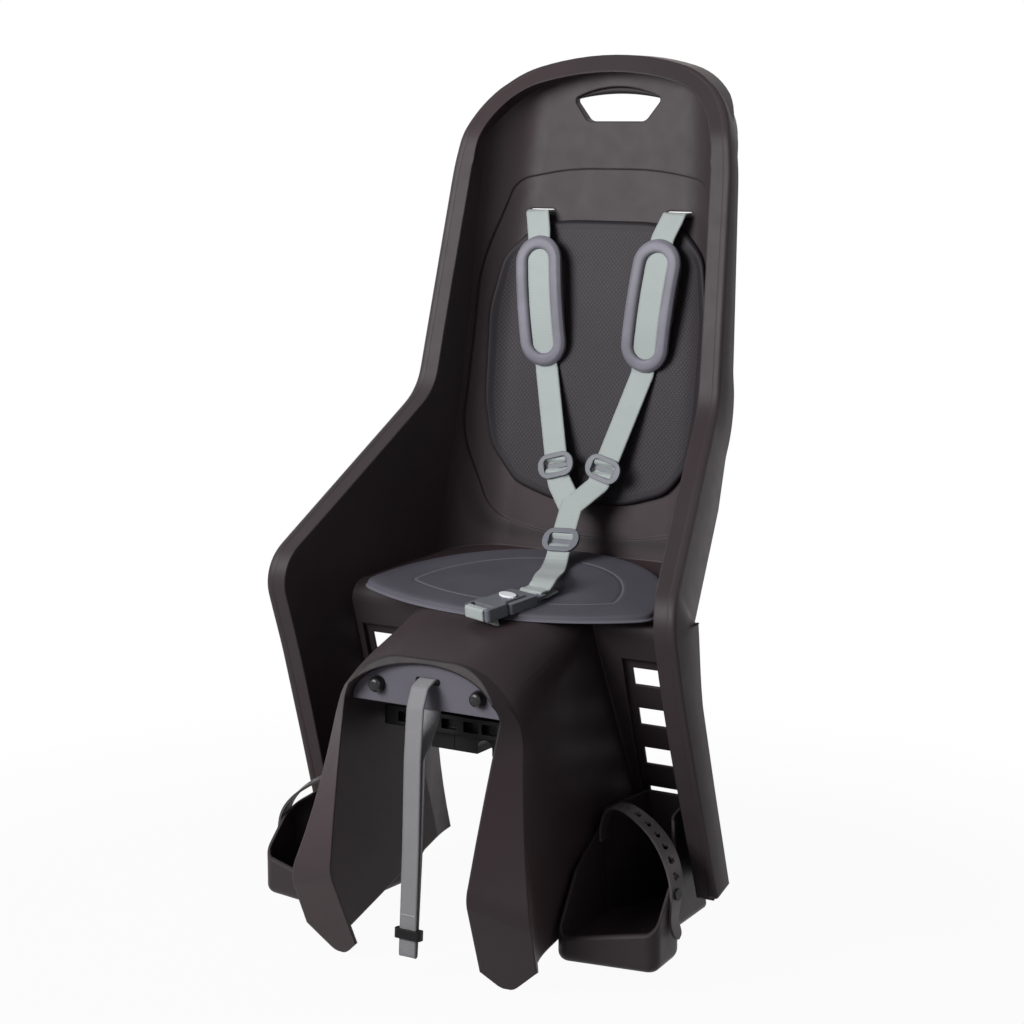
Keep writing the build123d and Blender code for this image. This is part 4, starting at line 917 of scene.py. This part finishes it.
class CHILDSEAT_OT_harness(bpy.types.Operator):
    """Model the webbing of the harness: shoulder straps, lap strap and crotch strap"""

    bl_idname = "childseat.harness"
    bl_label = "Harness webbing"

    def execute(self, context):
        sizes = context.scene.child_seat.sizes
        look = context.scene.child_seat.finishes
        width, web = sizes.web_width, sizes.web_thickness
        material = webbing("harness_webbing", look.webbing_colour, width)
        for side, sign in SIDES:
            path = self.shoulder_route(sign, web)
            piece = strap(f"shoulder_webbing_{side}", path, (1, 0, 0), width, web)
            place_piece(piece, "seat", "webbing", material, f"shoulder_strap_{side}")
        piece = strap("lap_webbing", self.lap_route(web), (1, 0, 0), width, web)
        place_piece(piece, "seat", "webbing", material, "lap_strap")
        piece = strap("crotch_webbing", self.crotch_route(web), BUCKLE_X, width, web)
        place_piece(piece, "seat", "webbing", material, "crotch_strap")
        return {"FINISHED"}

    def shoulder_route(self, sign, web):
        """From behind the backrest through its slot, under the shoulder pad and the slider to the joint."""
        wall, bar, play, rise = 3.5 * MM, 2.5 * MM, 0.6 * MM, 1.6 * MM
        face = back_y(SLOT_Z)
        behind = face + wall + bar + web / 2 + play
        lead = unit(SLIDER_POINT - SHOULDER_FOOT) * SLIDER_RUN
        middle, _, up, out = shoulder_axes()
        heights = np.linspace(67, -67, 9)[:, None] * MM
        padded = middle + up * heights + out * shoulder_arch(heights)
        start = [
            (SLOT_X, behind - RECLINE * 16 * MM, SLOT_Z - 16 * MM),
            (SLOT_X, behind, SLOT_Z + rise),
            (SLOT_X, face - 9 * MM, SLOT_Z + rise),
        ]
        joint = STRAP_JOINT + JOINT_OUT * ((web + play) * sign)
        corners = np.concatenate([start, padded, [SLIDER_POINT - lead, SLIDER_POINT + lead, joint]])
        path = over_slider(eased_path(corners, 2.0 * MM, 0.7 * MM), (1, 0, 0), SLIDER_POINT)
        return path * [sign, 1, 1]

    def lap_route(self, web):
        """From the joint under its slider to the tongue, round the tongue's bar and back under itself; a cubic
        curve arches between the slider and the tongue."""
        lead = unit(LAP_SLIDER - LAP_JOINT) * SLIDER_RUN
        half = web / 2 / MM
        bar = 40 - half - 0.1
        loop = in_buckle(
            [
                (0, 55, 11.5 + half), (0, 49, 7.6 + half), (0, bar, 7.1 + half),
                (0, bar, 3.4 - half), (0, 47, 3.4 - half), (0, 62, 5.6 - half),
            ]
        )
        leave, enter = LAP_SLIDER + lead, loop[0]
        share = np.linspace(0, 1, 14)[:-1, None]
        arch = (
            leave * (1 - share) ** 3
            + (leave + lead * 1.6) * 3 * (1 - share) ** 2 * share
            + in_buckle([(-4, 70, 23)]) * 3 * (1 - share) * share**2
            + enter * share**3
        )
        corners = np.concatenate([[LAP_START, LAP_JOINT, LAP_SLIDER - lead], arch, loop])
        return over_slider(eased_path(corners, 1.1 * MM, 0.7 * MM), (1, 0, 0), LAP_SLIDER)

    def crotch_route(self, web):
        """From its stop under the pan up through the slot, under the buckle and round the buckle's front
        bar."""
        half = web / 2 / MM
        front, back, over = -31.1 - half, -26.9 + half, 10.1 + half
        corners = [
            (0, -14, -15), (0, -14, -7.5), (0, -17, 1.0), (0, front, 1.9 - half),
            (0, front, over), (0, back, over), (0, back, 4.0),
        ]
        return eased_path(in_buckle(corners), 0.8 * MM, 0.5 * MM)


class CHILDSEAT_OT_shoulder_pads(bpy.types.Operator):
    """Model the two oval rubber shoulder pads"""

    bl_idname = "childseat.shoulder_pads"
    bl_label = "Shoulder pads"

    def execute(self, context):
        sizes = context.scene.child_seat.sizes
        look = context.scene.child_seat.finishes
        material = soft_rubber("shoulder_rubber", look.rubber_colour, 0.46, 0.9 * MM)
        points, strip = self.oval(sizes)
        for side, sign in SIDES:
            name = f"shoulder_pad_rubber_{side}"
            piece = surface(name, points * [sign, 1, 1], strip, loop_rows=True, loop_columns=True)
            place_piece(piece, "seat", "shoulder_rubber", material, f"shoulder_pad_{side}")
        return {"FINISHED"}

    def oval(self, sizes):
        """Rounded ring carried round a stadium and bent with the strap; its ends bridge over the strap."""
        half_width = sizes.shoulder_pad_width / 2
        straight = sizes.shoulder_pad_length / 2 - half_width
        run = np.linspace(-1, 1, 26)[1:-1]
        turn = np.linspace(0, np.pi, 33)
        around = np.concatenate([np.zeros(24), turn, np.full(24, np.pi), turn + np.pi])
        shift = np.concatenate([run, np.ones(33), run[::-1], -np.ones(33)]) * straight
        # distance from the ring's middle, then height: two bevels, a flat crown, a round lip at the window and
        # the underside
        outer, inner = half_width / MM, 12.7
        ring = np.array(
            [
                (outer - 1.6, -2.3), (outer - 0.4, -1.5), (outer, -0.3), (outer, 1.5), (outer - 0.2, 2.2),
                (outer - 0.5, 2.6), (outer - 2.7, 4.5), (outer - 3.2, 4.85), (outer - 4.0, 5.05),
                (outer - 6.2, 5.15), (inner + 3.6, 5.0), (inner + 2.2, 4.6), (inner + 1.0, 3.7),
                (inner + 0.3, 2.5), (inner, 1.5), (inner + 0.5, 1.15), (inner + 2.0, 1.1), (inner + 4.5, 1.1),
                (outer - 4.5, 1.05), (outer - 3.2, 0.6), (outer - 2.6, -1.0), (outer - 2.4, -2.3),
            ]
        )
        radius, height = ring.T * MM
        across = np.cos(around)[:, None] * radius
        up = np.sin(around)[:, None] * radius + shift[:, None]
        # the underside closes on the strap along the straights and lifts over it at the ends
        out = np.broadcast_to(height, across.shape)
        rail = np.abs(across) > 13.4 * MM
        under = (height < 1.2 * MM) & (radius < half_width - 2.0 * MM)
        out = np.where(rail & under, -2.3 * MM, out)
        bridge = np.clip((13.6 * MM - np.abs(across)) / (2 * MM), 0, 1)
        out = np.where(~rail, np.maximum(out, (1.25 * MM) * bridge + out * (1 - bridge)), out)
        middle, axis_x, axis_up, axis_out = shoulder_axes()
        points = middle + across[..., None] * axis_x + up[..., None] * axis_up
        return points + (out + shoulder_arch(up))[..., None] * axis_out, np.stack([across, up], axis=-1)


class CHILDSEAT_OT_safety_strap(bpy.types.Operator):
    """Model the safety strap that hangs from the front plate"""

    bl_idname = "childseat.safety_strap"
    bl_label = "Safety strap"

    LOOP = np.array(
        [
            (0, -65.9, 70.7), (0, -77.5, 65.5), (0, -85.2, 48), (0, -90.1, 2), (0, -94.1, -82),
            (0, -101.3, -181), (0, -98.4, -181), (1.6, -91.2, -82), (2.4, -86.6, 2), (2.6, -66, 30),
            (2.0, -58.6, 45), (0, -58.6, 70.7),
        ]
    ) * MM
    SEAM_Y, SEAM_Z = -99.6, -142.0

    def execute(self, context):
        sizes = context.scene.child_seat.sizes
        look = context.scene.child_seat.finishes
        material = webbing("safety_webbing", look.safety_colour, sizes.safety_width)
        path = eased_path(self.LOOP, 1.6 * MM, 0.7 * MM, closed=True)
        piece = strap("safety_webbing", path, (1, 0, 0), sizes.safety_width, sizes.web_thickness, closed=True)
        place_piece(piece, "seat", "safety_webbing", material, "safety_strap")
        x = np.linspace(-7.5, 7.5, 9)
        starts = spread(x[:-1] + 0.25, self.SEAM_Y, self.SEAM_Z) * MM
        ends = spread(x[1:] - 0.25, self.SEAM_Y, self.SEAM_Z) * MM
        sewn = threads("safety_stitches", starts, ends, 0.45 * MM)
        thread = soft_rubber("stitch_thread", (0.62, 0.6, 0.6), 0.7, 0.1 * MM)
        place_piece(sewn, "seat", "safety_webbing", thread)
        return {"FINISHED"}


class CHILDSEAT_OT_foot_straps(bpy.types.Operator):
    """Model the perforated rubber straps of the footrests"""

    bl_idname = "childseat.foot_straps"
    bl_label = "Footrest straps"

    POINTS = np.array(
        [
            (116.4, 57.0, -94.0), (116.6, 57.0, -80.0), (130.0, 53.0, -59.0), (160.0, 43.0, -60.0),
            (188.0, 31.0, -73.0), (207.0, 17.0, -87.0), (217.4, 8.0, -106.0), (218.0, 5.0, -126.0),
            (218.4, 4.0, -142.0), (222.0, 7.0, -154.0),
        ]
    ) * MM
    FIRST, PITCH, HOLES = 0.2, 0.075, 9
    LOBE_PLACE, LOBE_RADIUS = 2.0, 2.2
    TIP = 8 * MM
    SIDE, ROWS = 12, 24

    def execute(self, context):
        sizes = context.scene.child_seat.sizes
        look = context.scene.child_seat.finishes
        material = soft_rubber("strap_rubber", look.strap_colour, 0.44, 0.5 * MM)
        curve = self.curve()
        plan, faces = self.plan(sizes, run_length(curve)[-1])
        bent = self.bend(plan, curve)
        for side, sign in SIDES:
            piece = mesh_piece(f"foot_strap_{side}", bent * [sign, 1, 1], faces, plan[:, :2], sharp=40)
            place_piece(piece, f"footrest_{side}", "strap_rubber", material, f"footrest_strap_{side}")
        return {"FINISHED"}

    def curve(self):
        """Dense points of the natural cubic spline through POINTS, with chord lengths as its parameter."""
        knots = run_length(self.POINTS)
        gaps = np.diff(knots)
        count = len(knots)
        system = np.eye(count)
        right = np.zeros((count, 3))
        inner = np.arange(1, count - 1)
        system[inner, inner - 1] = gaps[:-1]
        system[inner, inner] = 2 * (gaps[:-1] + gaps[1:])
        system[inner, inner + 1] = gaps[1:]
        right[1:-1] = 6 * np.diff(np.diff(self.POINTS, axis=0) / gaps[:, None], axis=0)
        bends = np.linalg.solve(system, right)
        at = np.linspace(0, knots[-1], 800)
        cell = np.clip(np.searchsorted(knots, at, side="right") - 1, 0, count - 2)
        gap = gaps[cell][:, None]
        left, rest = (at - knots[cell])[:, None], (knots[cell + 1] - at)[:, None]
        return (
            bends[cell] * rest**3 / (6 * gap)
            + bends[cell + 1] * left**3 / (6 * gap)
            + (self.POINTS[cell] / gap - bends[cell] * gap / 6) * rest
            + (self.POINTS[cell + 1] / gap - bends[cell + 1] * gap / 6) * left
        )

    def bend(self, plan, curve):
        """Strap's plan (across, share of its length, height) laid along the curve, turning with the tray's
        walls."""
        length = run_length(curve)
        share = length / length[-1]
        across = np.stack([0.55 * np.sin(np.pi * share) ** 2 - 0.12, np.ones_like(share), 0 * share], axis=1)
        along, side, _ = directions(curve, across)
        lines = (curve, side, np.cross(along, side))
        middle, side, out = (
            np.stack([np.interp(plan[:, 1], share, axis) for axis in line.T], axis=1) for line in lines
        )
        return middle + side * plan[:, :1] + out * plan[:, 2:]

    def plan(self, sizes, length):
        """Flat strap with three-lobed holes: in each cell rings run from the hole's edge to the cell's frame,
        the plain ends are grids, and both faces, the hole walls and the long edges are closed."""
        half, thick = sizes.foot_strap_width / 2, sizes.foot_strap_thickness / 2
        cell = self.PITCH * length / 2
        side, full = np.linspace(-1, 1, self.SIDE + 1)[:-1], np.ones(self.SIDE)
        frame_x = half * np.concatenate([side, full, -side, -full])
        frame_y = cell * np.concatenate([-full, side, full, -side])
        turn = np.arctan2(frame_y, frame_x)
        lobes = turn[:, None] - np.radians([0, 120, 240])
        inside = np.maximum(self.LOBE_RADIUS**2 - (self.LOBE_PLACE * np.sin(lobes)) ** 2, 0)
        reach = np.where(inside > 0, self.LOBE_PLACE * np.cos(lobes) + np.sqrt(inside), 0).max(axis=1) * MM
        hole_x, hole_y = reach * np.cos(turn), reach * np.sin(turn)
        step = np.array([0, 0.12, 0.4, 0.7, 1.0])[:, None]
        ring_x = hole_x + (frame_x - hole_x) * step
        ring_y = hole_y + (frame_y - hole_y) * step
        layers = np.array([thick, -thick])[:, None, None]
        points, faces, start = [], [], 0
        for hole in range(self.HOLES):
            share = self.FIRST + self.PITCH * hole + ring_y / length
            points.append(spread(ring_x, share, layers).reshape(-1, 3))
            index = wrapped(np.arange(2 * ring_x.size).reshape(2, *ring_x.shape) + start)
            rim = cells(index[:, -1])
            faces += cells(index) + cells(index[:, 0]) + rim[12:24] + rim[36:48]
            start += 2 * ring_x.size
        first = self.FIRST - self.PITCH / 2
        last = self.FIRST + self.PITCH * (self.HOLES - 0.5)
        tip = self.TIP / length
        for low, high, end in ((0.0, first, 0), (last, 1.0, -1)):
            along = np.linspace(low, high, self.ROWS)[:, None]
            gap = np.clip((along - (1 - tip)) / tip, 0, 0.995)
            grid_x = np.linspace(-half, half, self.SIDE + 1) * (0.35 + 0.65 * np.sqrt(1 - gap**2))
            points.append(spread(grid_x, along, layers).reshape(-1, 3))
            index = np.arange(2 * grid_x.size).reshape(2, *grid_x.shape) + start
            faces += cells(index) + cells(index[..., 0]) + cells(index[..., -1]) + cells(index[:, end])
            start += index.size
        return np.concatenate(points), faces


class CHILDSEAT_OT_stage(bpy.types.Operator):
    """Set up the pale floor, the soft studio light and the camera"""

    bl_idname = "childseat.stage"
    bl_label = "Stage"

    FLOOR_Z = -0.2015

    def execute(self, context):
        scene = context.scene
        stage = scene.child_seat.stage
        scene.view_settings.view_transform = "Standard"
        self.camera(scene, stage)
        self.backdrop()
        self.world(scene, stage.sky)
        self.lamp("key_light", (-0.75, -1.45, 1.05), (0, 0.25, 0.55), 1.2, stage.key_power, 100)
        self.lamp("fill_light", (1.9, -1.0, 0.9), (0, 0.1, 0.2), 1.4, stage.fill_power)
        self.lamp("left_rim_light", (-1.7, 0.5, 0.7), (0, 0.1, 0.25), 0.9, stage.rim_power)
        self.lamp("right_rim_light", (1.5, 0.9, 1.2), (0, 0.1, 0.25), 0.9, stage.rim_power)
        return {"FINISHED"}

    def put(self, name, data, place, look):
        """Object at a place that looks along a direction."""
        made = bpy.data.objects.new(name, data)
        bpy.context.scene.collection.objects.link(made)
        made.location = place
        made.rotation_euler = Vector(look).to_track_quat("-Z", "Y").to_euler()
        return made

    def camera(self, scene, stage):
        data = bpy.data.cameras.new("camera")
        data.sensor_width = 36
        data.lens = stage.lens
        data.clip_end = 50
        turn, tilt = stage.azimuth, stage.elevation
        look = (-np.sin(turn) * np.cos(tilt), np.cos(turn) * np.cos(tilt), -np.sin(tilt))
        scene.camera = self.put("camera", data, stage.place, look)

    def lamp(self, name, place, target, width, watts, spread_angle=180):
        data = bpy.data.lights.new(name, "AREA")
        data.shape = "DISK"
        data.spread = np.radians(spread_angle)
        data.size = width
        data.energy = watts
        lamp = self.put(name, data, place, Vector(target) - Vector(place))

    def backdrop(self):
        """Floor disc: rings of points round the seat, flat under it. It looks nearly white, and its shaded part
        lets the seat's shadow through."""
        radius = np.array([0.0, 1.0, 2.5, 6.0])[:, None]
        turn = np.linspace(0, 2 * np.pi, 64, endpoint=False)
        points = spread(radius * np.cos(turn), radius * np.sin(turn), self.FLOOR_Z)
        floor = surface("floor", points, points[..., :2], loop_columns=True)
        finish = Finish("pale_floor")
        finish.set(Base_Color=(0.5, 0.5, 0.5, 1), Roughness=0.9, Specular_IOR_Level=0.0)
        x, y, _ = finish.parts(finish.place())
        share = 0.95 + 0.05 * ((x * x + y * y) ** 0.5).above(0.45, 0.6)
        white = finish.node("ShaderNodeEmission", None, {"Color": (1, 1, 1, 1), "Strength": 1.0})
        matte = Wire(finish, finish.shader.outputs[0])
        mixed = finish.node("ShaderNodeMixShader", None, {0: finish.seen() * share, 1: matte, 2: white})
        finish.put(finish.tree.nodes["Material Output"].inputs["Surface"], mixed)
        floor.data.materials.append(finish.material)

    def world(self, scene, strength):
        """Even light of the given strength, white where it is seen or mirrored."""
        world = bpy.data.worlds.new("studio")
        world.use_nodes = True
        nodes = Nodes(world.node_tree)
        sockets = {"Value": nodes.seen(), "To Min": strength, "To Max": 1.0}
        level = nodes.node("ShaderNodeMapRange", None, sockets)
        back = world.node_tree.nodes["Background"].inputs
        nodes.put(back["Strength"], level)
        nodes.put(back["Color"], (1, 1, 1, 1))
        scene.world = world


class CHILDSEAT_PT_panel(bpy.types.Panel):
    """Panel that lists the seat's pieces and settings"""

    bl_label = "Child seat"
    bl_idname = "CHILDSEAT_PT_panel"
    bl_space_type = "VIEW_3D"
    bl_region_type = "UI"
    bl_category = "Child seat"

    def draw(self, context):
        for operator in OPERATORS:
            self.layout.operator(operator.bl_idname)
        settings = context.scene.child_seat
        for group in (settings.finishes, settings.sizes, settings.stage):
            box = self.layout.box()
            for key in group.__annotations__:
                box.prop(group, key)


OPERATORS = (
    CHILDSEAT_OT_shell,
    CHILDSEAT_OT_grip,
    CHILDSEAT_OT_rim_skirts,
    CHILDSEAT_OT_hardware,
    CHILDSEAT_OT_buckle,
    CHILDSEAT_OT_back_pad,
    CHILDSEAT_OT_seat_pad,
    CHILDSEAT_OT_harness,
    CHILDSEAT_OT_shoulder_pads,
    CHILDSEAT_OT_safety_strap,
    CHILDSEAT_OT_foot_straps,
    CHILDSEAT_OT_stage,
)
CLASSES = (SeatFinishes, SoftSizes, StageLook, ChildSeat, *OPERATORS, CHILDSEAT_PT_panel)


def register():
    for item in CLASSES:
        bpy.utils.register_class(item)
    bpy.types.Scene.child_seat = bpy.props.PointerProperty(type=ChildSeat)


def unregister():
    del bpy.types.Scene.child_seat
    for item in reversed(CLASSES):
        bpy.utils.unregister_class(item)


def main():
    """Build every piece."""
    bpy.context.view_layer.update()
    register()
    bpy.ops.childseat.shell()
    bpy.ops.childseat.grip()
    bpy.ops.childseat.rim_skirts()
    bpy.ops.childseat.hardware()
    bpy.ops.childseat.buckle()
    bpy.ops.childseat.back_pad()
    bpy.ops.childseat.seat_pad()
    bpy.ops.childseat.harness()
    bpy.ops.childseat.shoulder_pads()
    bpy.ops.childseat.safety_strap()
    bpy.ops.childseat.foot_straps()
    bpy.ops.childseat.stage()


if __name__ == "__main__":
    main()
